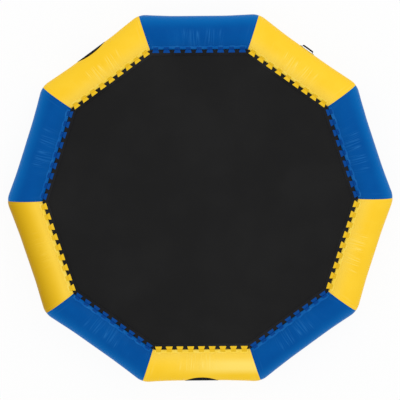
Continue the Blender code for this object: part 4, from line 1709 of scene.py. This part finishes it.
@dataclass(frozen=True)
class Valve:
    """Inflation valve: its welded boot and body, and the screw cap with its grip."""

    ring: TubeRing
    flange: float = 0.036
    flange_top: float = 0.0028
    neck: float = 0.024
    neck_height: float = 0.010
    bore: float = 0.016
    barrel: float = 0.021
    depth: float = 0.022
    cap_inner: float = 0.0245
    cap_outer: float = 0.0275
    cap_low: float = 0.0038
    thread_pitch: float = 0.0018
    roof_low: float = 0.0126
    roof_high: float = 0.0156
    groove: float = 0.0009
    ribs: int = 30
    bar_reach: float = 0.0200
    bar_half: float = 0.0030
    bar_height: float = 0.0068
    boot_inner: float = 0.0300
    boot_outer: float = 0.0600
    boot_wall: float = 0.0009
    steps: int = 90

    def placing(self) -> Matrix:
        """Matrix from the valve's own frame to its side's.

        Returns:
            The matrix.
        """
        axis = self.ring.plan.valve_axis.normalized()
        along = Vector((0.0, 1.0, 0.0))
        turned = Matrix((along.cross(axis), along, axis)).transposed().to_4x4()
        return Matrix.Translation(self.ring.plan.valve_seat) @ turned

    def body(self) -> Mesh:
        """The valve body: flange, neck with its thread, and barrel.

        Returns:
            Its mesh, in the valve's own frame.
        """
        neck, rim, top, depth = self.neck, self.neck_height, self.flange_top, self.depth
        flange, barrel, bore = self.flange, self.barrel, self.bore
        profile = [(neck - 0.0004, rim), (neck - 0.0001, rim - 0.0006)]
        for turn in range(3):
            low = rim - 0.0016 - self.thread_pitch * turn
            profile += [(neck - 0.0008, low), (neck, low - 0.0006), (neck - 0.0008, low - 0.0012)]
        profile += [(neck - 0.0004, top + 0.0008), (neck + 0.0012, top), (flange - 0.0016, top)]
        profile += [(flange - 0.0003, top - 0.0007), (flange, 0.0010), (flange, 0.0003)]
        profile += [(barrel, 0.0003), (barrel, -depth + 0.001), (barrel - 0.001, -depth)]
        profile += [(bore, -depth), (bore, rim - 0.0006), (bore + 0.0006, rim)]
        rows = []
        for radius, height in [*profile, profile[0]]:
            rows.append([Vector((x, y, height)) for x, y in circle(radius, self.steps)])
        return finished(grid_mesh("valve_shell", rows, ring=True))

    def lid(self) -> Mesh:
        """The screw cap's ribbed skirt and dished roof.

        Returns:
            Its mesh, in the valve's own frame.
        """
        outer, top, low = self.cap_outer, self.roof_high, self.cap_low
        profile = [(0.0005, top - 0.0006), (0.0120, top - 0.0006), (0.0170, top - 0.0002)]
        profile += [(0.0200, top), (outer - 0.0022, top), (outer - 0.0007, top - 0.0006)]
        skirt = [(outer, top - 0.0020), (outer, low + 0.0006)]
        profile += [*skirt, (outer - 0.0006, low)]
        profile += [(self.cap_inner, low), (self.cap_inner, self.roof_low), (0.0005, self.roof_low)]
        rows = []
        for radius, height in profile:
            depth = self.groove if (radius, height) in skirt else 0.0
            row = []
            for turn in turns(self.ribs * 6):
                reach = radius - depth * (0.5 - 0.5 * math.cos(turn * self.ribs))
                row.append(Vector((reach * math.cos(turn), reach * math.sin(turn), height)))
            rows.append(row)
        return capped(grid_mesh("valve_lid", rows, ring=True))

    def bar(self) -> Mesh:
        """The bar on the cap that it is turned by.

        Returns:
            Its mesh, in the valve's own frame.
        """
        rows = []
        for share in evenly(-1.0, 1.0, 24):
            end = math.sqrt(max(1.0 - abs(share) ** 6, 0.02))
            row = []
            for turn in turns(16):
                wide = squared(math.cos(turn), 0.7) * self.bar_half * (0.8 + 0.2 * abs(share)) * end
                tall = (0.5 + 0.5 * squared(math.sin(turn), 0.7)) * self.bar_height * end
                row.append(Vector((self.bar_reach * share, wide, self.roof_high - 0.0008 + tall)))
            rows.append(row)
        return capped(grid_mesh("valve_bar", rows, ring=True))

    def boot(self) -> Mesh:
        """The round patch of fabric that is welded over the valve's flange.

        Returns:
            Its mesh, in its side's own frame.
        """
        placing, surface = self.placing(), self.ring.surfaces[self.ring.plan.valve_side]
        axis = self.ring.plan.valve_axis.normalized()
        raised = [(self.boot_inner, 0.0040), (0.0345, 0.0040), (0.0362, 0.0036), (0.0375, 0.0022)]
        lying = [(0.0392, 0.0013), (0.046, 0.0011), (0.054, 0.0011)]
        lying += [(self.boot_outer - 0.0004, 0.0010), (self.boot_outer, 0.0004)]
        rows = []
        for radius, lift in raised + lying:
            row = []
            for x, y in circle(radius, self.steps):
                spot = placing @ Vector((x, y, 0.03))
                if (radius, lift) in raised:
                    row.append(spot - axis * (0.03 - lift))
                    continue
                hit = surface.ray_cast(spot, -axis, 0.1)[0]
                row.append((hit if hit is not None else spot - axis * 0.03) + axis * lift)
            rows.append(row)
        sheet = grid_mesh("valve_boot", rows, ring=True, mark=0.5)
        return with_wall("valve_boot", sheet, self.boot_wall)

    def dress(self, finishes: Finishes) -> None:
        """Build the valve and put it in place of its solids.

        Args:
            finishes: The bouncer's materials.
        """
        plan, plastic, fabric = self.ring.plan, finishes.plastic, finishes.hem[Tone.YELLOW]
        turn = plan.turn(plan.valve_side)
        placed = turn @ self.placing()
        shell, lid = self.body(), joined("valve_lid", [self.lid(), self.bar()])
        piece("valve_shell", shell, plastic, RING_BODY, ["valve_body"], 35.0, placed)
        piece("valve_lid", lid, plastic, "valve_lid", ["valve_cap"], 35.0, placed)
        piece("valve_boot", self.boot(), fabric, RING_BODY, turn=turn)


class Surface(Graph):
    """A material being built: its nodes, its shader and the places that it reads."""

    def __init__(
        self, name: str, rough: float, level: float, metal: float = 0.0, bend: float = 1.5
    ) -> None:
        """Start a material.

        Args:
            name: The material's name.
            rough: Its plain roughness.
            level: Its specular level.
            metal: How metallic it is.
            bend: Its index of refraction.
        """
        self.material = bpy.data.materials.new(name)
        self.material.use_nodes = True
        super().__init__(self.material.node_tree)
        self.shader = self.tree.nodes["Principled BSDF"]
        plain = {"Roughness": rough, "Specular IOR Level": level, "Metallic": metal, "IOR": bend}
        for title, value in plain.items():
            self.join(value, self.shader.inputs[title])
        self.place = self.node("ShaderNodeTexCoord").outputs["Object"]

    def measure(self) -> Socket:
        """The piece's own measure in metres."""
        return self.node("ShaderNodeAttribute", attribute_name=SKIN).outputs["Vector"]

    def group(self, tree: Tree, **values: object) -> dict[str, Socket]:
        """Put a shared group in.

        Args:
            tree: The group.
            values: Its inputs by name.

        Returns:
            Its outputs by name.
        """
        made = self.node("ShaderNodeGroup", values, node_tree=tree)
        return {item.name: item for item in made.outputs}

    def finish(
        self, colour: Socket, rough: Socket, height: Socket, depth: float, strength: float
    ) -> Material:
        """Feed the shader.

        Args:
            colour: The base colour.
            rough: The roughness.
            height: Height of the fine relief.
            depth: How deep that is, in metres.
            strength: How strongly it shows.

        Returns:
            The material.
        """
        relief = {"Strength": strength, "Distance": depth, "Height": height}
        normal = self.node("ShaderNodeBump", relief).outputs[0]
        looks = {"Base Color": colour, "Roughness": rough, "Normal": normal}
        for title, value in looks.items():
            self.join(value, self.shader.inputs[title])
        return self.material


class Workshop:
    """Shader groups that several finishes share, each built once."""

    def __init__(self) -> None:
        """Build the groups."""
        self.grime = self.build_grime()
        self.weave = self.build_weave()
        self.scrim = self.build_scrim()

    def start(
        self, name: str, sizes: dict[str, float], outputs: Sequence[str]
    ) -> tuple[Graph, dict[str, Socket], Node]:
        """Start a group that reads a place.

        Args:
            name: The group's name.
            sizes: Name and default of each of its numbers.
            outputs: Name of each output, a number.

        Returns:
            The graph, its input sockets by name and its output node.
        """
        kind = SocketKind.FLOAT
        inputs = [("Place", SocketKind.VECTOR, None)]
        inputs += [(title, kind, value) for title, value in sizes.items()]
        return new_tree(name, TreeKind.SHADER, inputs, [(title, kind) for title in outputs])

    def build_grime(self) -> Tree:
        """Group for uneven colour, dust and fine scuffs.

        Returns:
            The group: Shade is a lasting unevenness about 0.5, Scuff and Speck are masks.
        """
        sizes = {"Breadth": 3.0, "Fineness": 60.0}
        graph, given, result = self.start("uneven_wear", sizes, ("Shade", "Scuff", "Speck"))
        wide = graph.noise(given["Place"], given["Breadth"], 3.0, 0.55)
        fine = graph.noise(given["Place"], given["Fineness"], 4.0, 0.65)
        speckle = graph.noise(given["Place"], graph.times(given["Fineness"], 7.0), 1.0)
        graph.join(wide, result.inputs["Shade"])
        scuff = graph.times(graph.ramp(fine, 0.56, 0.74), graph.ramp(wide, 0.42, 0.72))
        graph.join(scuff, result.inputs["Scuff"])
        graph.join(graph.ramp(speckle, 0.68, 0.78), result.inputs["Speck"])
        return graph.tree

    def build_weave(self) -> Tree:
        """Group for a plain weave of ribbons over and under one another.

        Returns:
            The group: Height of the cloth, Gap between its ribbons, and which Set lies on top.
        """
        graph, given, result = self.start("plain_weave", {"Pitch": 0.003}, ("Height", "Gap", "Set"))
        ways = graph.parts(given["Place"])[:2]
        counts = [graph.maths("DIVIDE", way, given["Pitch"]) for way in ways]
        ridges = [graph.size(graph.maths("SINE", graph.times(count, math.pi))) for count in counts]
        steps = [graph.maths("FLOOR", count) for count in counts]
        parity = graph.maths("MODULO", graph.add(*steps, 4000.0), 2.0)
        over = graph.maths("GREATER_THAN", parity, 0.5)
        lifted = []
        for top, low, here in ((*ridges, over), (*ridges[::-1], graph.take(1.0, over))):
            rounding = graph.add(0.45, graph.times(low, 0.55))
            lifted.append(graph.times(here, graph.maths("POWER", top, 0.5), rounding))
        graph.join(graph.add(*lifted), result.inputs["Height"])
        graph.join(graph.ramp(graph.maths("MAXIMUM", *ridges), 0.55, 0.25), result.inputs["Gap"])
        graph.join(over, result.inputs["Set"])
        return graph.tree

    def build_scrim(self) -> Tree:
        """Group for the threads and creases that show through a coated fabric.

        Returns:
            The group: Height of the skin, and Crease, a mask of its creases.
        """
        sizes = {"Pitch": 0.0022, "Creasing": 1.0}
        graph, given, result = self.start("coated_scrim", sizes, ("Height", "Crease"))
        x, y, _ = graph.parts(given["Place"])
        rate = graph.maths("DIVIDE", math.tau, given["Pitch"])
        threads = graph.times(*(graph.maths("SINE", graph.times(way, rate)) for way in (x, y)))
        peel = graph.noise(given["Place"], 420.0, 2.0)
        sharp = graph.size(graph.uneven(graph.vector(x, graph.times(y, 0.035)), 44.0, 0.0))
        patchy = graph.noise(graph.vector(x, graph.times(y, 0.25), 7.0), 16.0, 0.0)
        lines = graph.take(1.0, graph.ramp(sharp, 0.0, 0.16))
        crease = graph.times(lines, graph.ramp(patchy, 0.34, 0.66), given["Creasing"])
        height = graph.add(graph.times(threads, 0.10), graph.times(peel, 0.35))
        height = graph.add(height, graph.times(crease, 1.1))
        graph.join(height, result.inputs["Height"])
        graph.join(crease, result.inputs["Crease"])
        return graph.tree


@dataclass(frozen=True)
class CoatedFabric:
    """Glossy coated fabric of the tube, whose colour also carries painted highlights, painted
    reflection and painted shade.
    """

    name: str
    colour: Colour
    # Paler colour, used for painted highlights (creases, inner shoulder, one crown) and for real
    # scuffs.
    pale: Colour
    deep: Colour
    # Colour towards the tube's outer flank: painted reflection on blue, which is paler there, and
    # painted shade on yellow, which is a touch darker.
    flank_sheen_and_shade: Colour
    # How strongly the inner shoulder is drawn paler, as a painted highlight.
    shoulder_highlight: float = 0.0
    lap: float = 0.0
    # Whether single sides get painted light: painted shade on the outer half of the side towards
    # bearing, and a painted sheen on the crown of the side towards -Y.
    painted_side_shading: bool = False
    dust: Colour = (0.30, 0.27, 0.22)
    # Colour of the painted shade that the side towards bearing darkens to at its outer edge;
    # bearing gives that side's direction.
    painted_shade: Colour = (0.483, 0.272, 0.0005)
    bearing: float = math.radians(198.0)

    def build(self, shop: Workshop) -> Material:
        """Make the material, which follows the skin's own measure.

        Args:
            shop: The shared groups.

        Returns:
            The material.
        """
        graph = Surface(self.name, 0.40, 0.05, bend=1.30)
        skin = graph.measure()
        along, around, seam = graph.parts(skin)
        east, north, height = graph.parts(graph.place)
        worn = graph.group(shop.grime, Place=graph.place, Breadth=2.2, Fineness=46.0)
        crown = graph.window(around, (0.28, 0.36), (0.58, 0.53))
        middle = graph.ramp(graph.size(along), 0.42, 0.14)
        near = graph.times(graph.ramp(seam, 0.12, 0.0), 0.6)
        # Where creases lie, which get both bumps and a painted highlight.
        amount = graph.maths("MAXIMUM", graph.times(crown, middle), near)
        colour = graph.blend(graph.ramp(worn["Shade"], 0.3, 0.7), self.deep, self.colour)
        # Painted light on the outer flank: painted reflection on blue, painted shade on yellow.
        flank_sheen_and_shade = graph.window(around, (0.33, 0.10), (-0.20, -0.05))
        colour = graph.blend(graph.times(flank_sheen_and_shade, 0.9), colour, self.flank_sheen_and_shade)
        # Painted highlight: the inner shoulder towards the hem is drawn paler.
        inner = graph.times(graph.ramp(around, 0.34, 0.52), self.shoulder_highlight)
        colour = graph.blend(inner, colour, self.pale)
        # Painted light on single sides: painted shade on the side towards bearing, and a painted
        # sheen on the crown of the side towards -Y.
        if self.painted_side_shading:
            toward = (math.cos(self.bearing), math.sin(self.bearing))
            west = graph.add(graph.times(east, toward[0]), graph.times(north, toward[1]))
            # Creases, with their painted highlight, fade out on the side with the painted shade.
            amount = graph.times(amount, graph.ramp(west, 1.60, 1.50, 0.15, 1.0))
            # Painted shade: the side towards bearing darkens towards its outer edge.
            colour = graph.blend(graph.ramp(west, 1.862, 2.158, smooth=False), colour, self.painted_shade)
            # Painted sheen: the crown of the side towards -Y is drawn paler on its +X half.
            crest = graph.window(graph.times(north, -1.0), (1.840, 1.940), (2.090, 1.990))
            painted_sheen = graph.times(crest, graph.ramp(east, -0.45, 0.40), 0.9)
            colour = graph.blend(painted_sheen, colour, self.pale)
        cloth = graph.group(shop.scrim, Place=skin, Pitch=0.0021, Creasing=amount)
        # Painted highlight: creases on the crown and puckers by the seams are drawn paler.
        colour = graph.blend(graph.times(cloth["Crease"], 0.65), colour, self.pale)
        colour = graph.blend(graph.times(worn["Scuff"], 0.22), colour, self.pale)
        edge = graph.times(graph.ramp(seam, 0.0012, 0.0), 0.55)
        colour = graph.blend(edge, colour, self.deep)
        weld = graph.window(seam, (0.0372, 0.0356), (0.0330, 0.0344))
        colour = graph.blend(graph.times(weld, self.lap, 0.5), colour, self.deep)
        colour = graph.blend(graph.times(graph.ramp(height, 0.12, 0.0), 0.20), colour, self.dust)
        rough = graph.add(0.30, graph.times(worn["Shade"], 0.10), graph.times(worn["Scuff"], 0.18))
        return graph.finish(colour, rough, cloth["Height"], 0.0009, 0.55)


@dataclass(frozen=True)
class WovenCloth:
    """Matt woven stuff: the mat, the webbing, the rope's braid and the thread."""

    name: str
    colour: Colour
    pale: Colour
    pitch: float
    depth: float
    rough: float
    measured: bool = True
    dust: Colour = (0.30, 0.28, 0.25)

    def build(self, shop: Workshop) -> Material:
        """Make the material.

        Args:
            shop: The shared groups.

        Returns:
            The material.
        """
        graph = Surface(self.name, self.rough, 0.05)
        place = graph.measure() if self.measured else graph.place
        worn = graph.group(shop.grime, Place=graph.place, Breadth=1.6, Fineness=70.0)
        cloth = graph.group(shop.weave, Place=place, Pitch=self.pitch)
        colour = graph.blend(graph.ramp(worn["Shade"], 0.35, 0.75), self.colour, self.pale)
        colour = graph.blend(graph.times(cloth["Set"], 0.35), colour, self.pale)
        # Painted shade: the gaps between the ribbons are darkened.
        painted_shade = tuple(0.35 * share for share in self.colour)
        colour = graph.blend(graph.times(cloth["Gap"], 0.6), colour, painted_shade)
        colour = graph.blend(graph.times(worn["Speck"], 0.05), colour, self.dust)
        rough = graph.add(self.rough, graph.times(graph.take(worn["Shade"], 0.5), 0.15))
        return graph.finish(colour, rough, cloth["Height"], self.depth, 0.7)


@dataclass(frozen=True)
class HemFabric:
    """Coated fabric of the hems, with the fine print of the welding bar, and painted shade on the
    tabs.
    """

    name: str
    colour: Colour
    pale: Colour
    # Darker colour of the tabs: painted shade where they curl down over the rope.
    tab: Colour

    def build(self, shop: Workshop) -> Material:
        """Make the material.

        Args:
            shop: The shared groups.

        Returns:
            The material.
        """
        graph = Surface(self.name, 0.42, 0.05)
        skin = graph.measure()
        worn = graph.group(shop.grime, Place=graph.place, Breadth=9.0, Fineness=90.0)
        pressed = graph.group(shop.weave, Place=skin, Pitch=0.0032)
        colour = graph.blend(graph.ramp(worn["Shade"], 0.4, 0.75), self.colour, self.pale)
        # Painted shade: tabs (mark 1) are drawn darker, and the valve boot (mark 0.5) by half as
        # much.
        colour = graph.blend(graph.times(graph.parts(skin)[2], 0.9), colour, self.tab)
        colour = graph.blend(graph.times(worn["Scuff"], 0.35), colour, self.pale)
        rough = graph.add(0.36, graph.times(worn["Scuff"], 0.2))
        return graph.finish(colour, rough, pressed["Height"], 0.0004, 0.5)


@dataclass(frozen=True)
class Rubber:
    """Matt black rubber with a fine moulded grain."""

    name: str
    colour: Colour
    pale: Colour
    rough: float
    scuffed: Colour = (0.040, 0.038, 0.035)

    def build(self, shop: Workshop) -> Material:
        """Make the material.

        Args:
            shop: The shared groups.

        Returns:
            The material.
        """
        graph = Surface(self.name, self.rough, 0.06, bend=1.25)
        worn = graph.group(shop.grime, Place=graph.place, Breadth=11.0, Fineness=120.0)
        where = {"Vector": graph.place, "Scale": 520.0}
        cells = graph.node("ShaderNodeTexVoronoi", where, feature="DISTANCE_TO_EDGE")
        grain = graph.ramp(cells.outputs["Distance"], 0.0, 0.25)
        colour = graph.blend(graph.ramp(worn["Shade"], 0.35, 0.7), self.colour, self.pale)
        colour = graph.blend(graph.times(worn["Scuff"], 0.35), colour, self.scuffed)
        rough = graph.add(self.rough, graph.times(worn["Scuff"], 0.15))
        return graph.finish(colour, rough, grain, 0.0003, 0.6)


@dataclass(frozen=True)
class Steel:
    """Polished stainless wire with fine drawn lines."""

    name: str
    colour: Colour = (0.54, 0.545, 0.55)
    pale: Colour = (0.70, 0.70, 0.695)
    stain: Colour = (0.34, 0.30, 0.26)

    def build(self, shop: Workshop) -> Material:
        """Make the material.

        Args:
            shop: The shared groups.

        Returns:
            The material.
        """
        graph = Surface(self.name, 0.22, 0.5, metal=1.0)
        worn = graph.group(shop.grime, Place=graph.place, Breadth=30.0, Fineness=260.0)
        colour = graph.blend(worn["Shade"], self.colour, self.pale)
        colour = graph.blend(graph.times(worn["Speck"], 0.5), colour, self.stain)
        rough = graph.add(0.18, graph.times(worn["Shade"], 0.12), graph.times(worn["Scuff"], 0.25))
        return graph.finish(colour, rough, graph.noise(graph.place, 900.0), 0.0001, 0.25)


@dataclass(frozen=True)
class Studio:
    """Pale floor, soft light and the camera of the photograph."""

    distance: float = 25.0
    tilt: float = math.radians(4.6)
    roll: float = math.radians(-0.45)
    frame_width: float = 4.75
    aim: float = 0.235
    shift: Spot = (-0.0006, -0.0021)
    sky: float = 0.965
    lamp: float = 150.0
    lamp_size: float = 7.0
    lamp_place: tuple[float, float, float] = (4.0, 6.0, 9.0)
    floor_half: float = 30.0
    floor_drop: float = 0.0005
    glow: float = 0.93

    def build(self) -> None:
        """Build the whole studio."""
        self.floor()
        self.world()
        self.lamps()
        self.camera()

    def floor(self) -> None:
        """Lay the floor, which looks white to the camera and keeps a soft shadow."""
        bm = bmesh.new()
        bmesh.ops.create_grid(bm, x_segments=2, y_segments=2, size=self.floor_half)
        mesh = bpy.data.meshes.new("floor")
        bm.to_mesh(mesh)
        bm.free()
        mesh.transform(Matrix.Translation((0.0, 0.0, -self.floor_drop)))
        made = bpy.data.objects.new("floor", mesh)
        bpy.context.scene.collection.objects.link(made)
        material = bpy.data.materials.new("floor_paper")
        material.use_nodes = True
        graph = Graph(material.node_tree)
        grain = graph.noise(graph.node("ShaderNodeTexCoord").outputs["Object"], 9.0)
        tint = graph.blend(grain, (0.80, 0.80, 0.80), (0.84, 0.84, 0.84))
        paper = graph.node("ShaderNodeBsdfDiffuse", {"Color": tint})
        light = graph.node("ShaderNodeEmission", {"Strength": 1.0})
        share = graph.times(graph.straight(), self.glow)
        both = {0: share, 1: paper.outputs[0], 2: light.outputs[0]}
        mixed = graph.node("ShaderNodeMixShader", both)
        graph.join(mixed.outputs[0], material.node_tree.nodes["Material Output"].inputs["Surface"])
        mesh.materials.append(material)

    def world(self) -> None:
        """Light the scene evenly from all round, on a white background."""
        world = bpy.data.worlds.new("studio")
        world.use_nodes = True
        graph = Graph(world.node_tree)
        background = world.node_tree.nodes["Background"].inputs
        background["Color"].default_value = (1.0, 1.0, 1.0, 1.0)
        strength = graph.ramp(graph.straight(), 0.0, 1.0, self.sky, 1.0, smooth=False)
        graph.join(strength, background["Strength"])
        bpy.context.scene.world = world

    def lamps(self) -> None:
        """Hang one big soft lamp."""
        data = bpy.data.lights.new("soft_box", "AREA")
        data.shape = "DISK"
        data.size = self.lamp_size
        data.energy = self.lamp
        lamp = bpy.data.objects.new("soft_box", data)
        place = Vector(self.lamp_place)
        lamp.location = place
        lamp.rotation_euler = (-place).to_track_quat("-Z", "Y").to_euler()
        bpy.context.scene.collection.objects.link(lamp)

    def camera(self) -> None:
        """Hang the camera over the ring, leaning a little from upright."""
        data = bpy.data.cameras.new("photo")
        data.sensor_width = 36.0
        data.lens = data.sensor_width * self.distance / self.frame_width
        data.shift_x, data.shift_y = self.shift
        data.clip_start, data.clip_end = 1.0, 200.0
        eye = bpy.data.objects.new("photo", data)
        reach, tilt = self.distance, self.tilt
        leaning = Vector((0.0, reach * math.sin(tilt), reach * math.cos(tilt)))
        eye.location = Matrix.Rotation(self.roll, 3, "Z") @ leaning + Vector((0.0, 0.0, self.aim))
        eye.rotation_euler = (-self.tilt, 0.0, self.roll)
        bpy.context.scene.collection.objects.link(eye)
        bpy.context.scene.camera = eye
        bpy.context.scene.view_settings.view_transform = "Standard"


def mix_finishes() -> Finishes:
    """Build every material of the bouncer.

    Returns:
        The materials.
    """
    yellow = CoatedFabric(
        "fabric_yellow",
        colour=(0.960, 0.615, 0.036),
        pale=(0.982, 0.740, 0.150),
        deep=(0.930, 0.575, 0.024),
        # A touch darker: painted shade on the outer flank.
        flank_sheen_and_shade=(0.950, 0.600, 0.026),
        shoulder_highlight=0.30,
        lap=1.0,
        # Painted shade on one side and a painted sheen on another.
        painted_side_shading=True,
    )
    blue = CoatedFabric(
        "fabric_blue",
        colour=(0.0012, 0.084, 0.330),
        pale=(0.0160, 0.150, 0.440),
        deep=(0.0008, 0.072, 0.300),
        # Paler: painted reflection on the outer flank.
        flank_sheen_and_shade=(0.0012, 0.145, 0.465),
    )
    yellow_hem = HemFabric(
        "hem_yellow",
        colour=(0.975, 0.670, 0.062),
        pale=(0.985, 0.735, 0.120),
        # Darker tabs: painted shade.
        tab=(0.800, 0.500, 0.013),
    )
    blue_hem = HemFabric(
        "hem_blue",
        colour=(0.0010, 0.098, 0.385),
        pale=(0.0100, 0.140, 0.440),
        # Darker tabs: painted shade.
        tab=(0.0010, 0.050, 0.250),
    )
    black = (0.0100, 0.0100, 0.0105)
    webbing = WovenCloth("webbing", black, (0.020, 0.020, 0.021), 0.0024, 0.0006, 0.8)
    braid = WovenCloth("rope_braid", black, (0.024, 0.024, 0.025), 0.0031, 0.0010, 0.7)
    dull, greyed = (0.013, 0.013, 0.014), (0.030, 0.030, 0.032)
    thread = WovenCloth("thread", dull, greyed, 0.0010, 0.0002, 0.6)
    dull, greyed = (0.0115, 0.0115, 0.0118), (0.0150, 0.0150, 0.0152)
    cloth = WovenCloth("mat_cloth", dull, greyed, 0.0031, 0.0007, 0.75, measured=False)
    rubber = Rubber("pad_rubber", (0.0060, 0.0060, 0.0060), (0.0110, 0.0110, 0.0110), 0.62)
    dull, greyed = (0.0130, 0.0130, 0.0140), (0.0200, 0.0200, 0.0210)
    plastic = Rubber("valve_plastic_black", dull, greyed, 0.42)
    gasket = Rubber("gasket_black", black, (0.0160, 0.0160, 0.0165), 0.75)
    shop = Workshop()
    return Finishes(
        fabric={Tone.YELLOW: yellow.build(shop), Tone.BLUE: blue.build(shop)},
        hem={Tone.YELLOW: yellow_hem.build(shop), Tone.BLUE: blue_hem.build(shop)},
        webbing=webbing.build(shop),
        braid=braid.build(shop),
        thread=thread.build(shop),
        cloth=cloth.build(shop),
        rubber=rubber.build(shop),
        plastic=plastic.build(shop),
        gasket=gasket.build(shop),
        steel=Steel("ring_steel").build(shop),
    )


def dress_solids(finishes: Finishes) -> None:
    """Give the solids of the valve that nothing stands for their materials.

    Args:
        finishes: The bouncer's materials.
    """
    worn = {
        "valve_poppet": finishes.plastic,
        "valve_spring": finishes.steel,
        "valve_gasket": finishes.gasket,
    }
    for name, material in worn.items():
        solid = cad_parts[name]
        solid.data.materials.clear()
        solid.data.materials.append(material)


def main() -> None:
    """Build and dress the bouncer, then set up the studio."""
    plan = RingPlan()
    finishes = mix_finishes()
    bench = Bench()
    ring = TubeRing(plan)
    ring.dress(finishes)
    Lacing(ring).dress(finishes, bench)
    MatCloth(plan).dress(finishes.cloth)
    Hardware(ring).dress(finishes, bench)
    GrabHandle(ring).dress(finishes, bench)
    Valve(ring).dress(finishes)
    dress_solids(finishes)
    Studio().build()


if __name__ == "__main__":
    main()
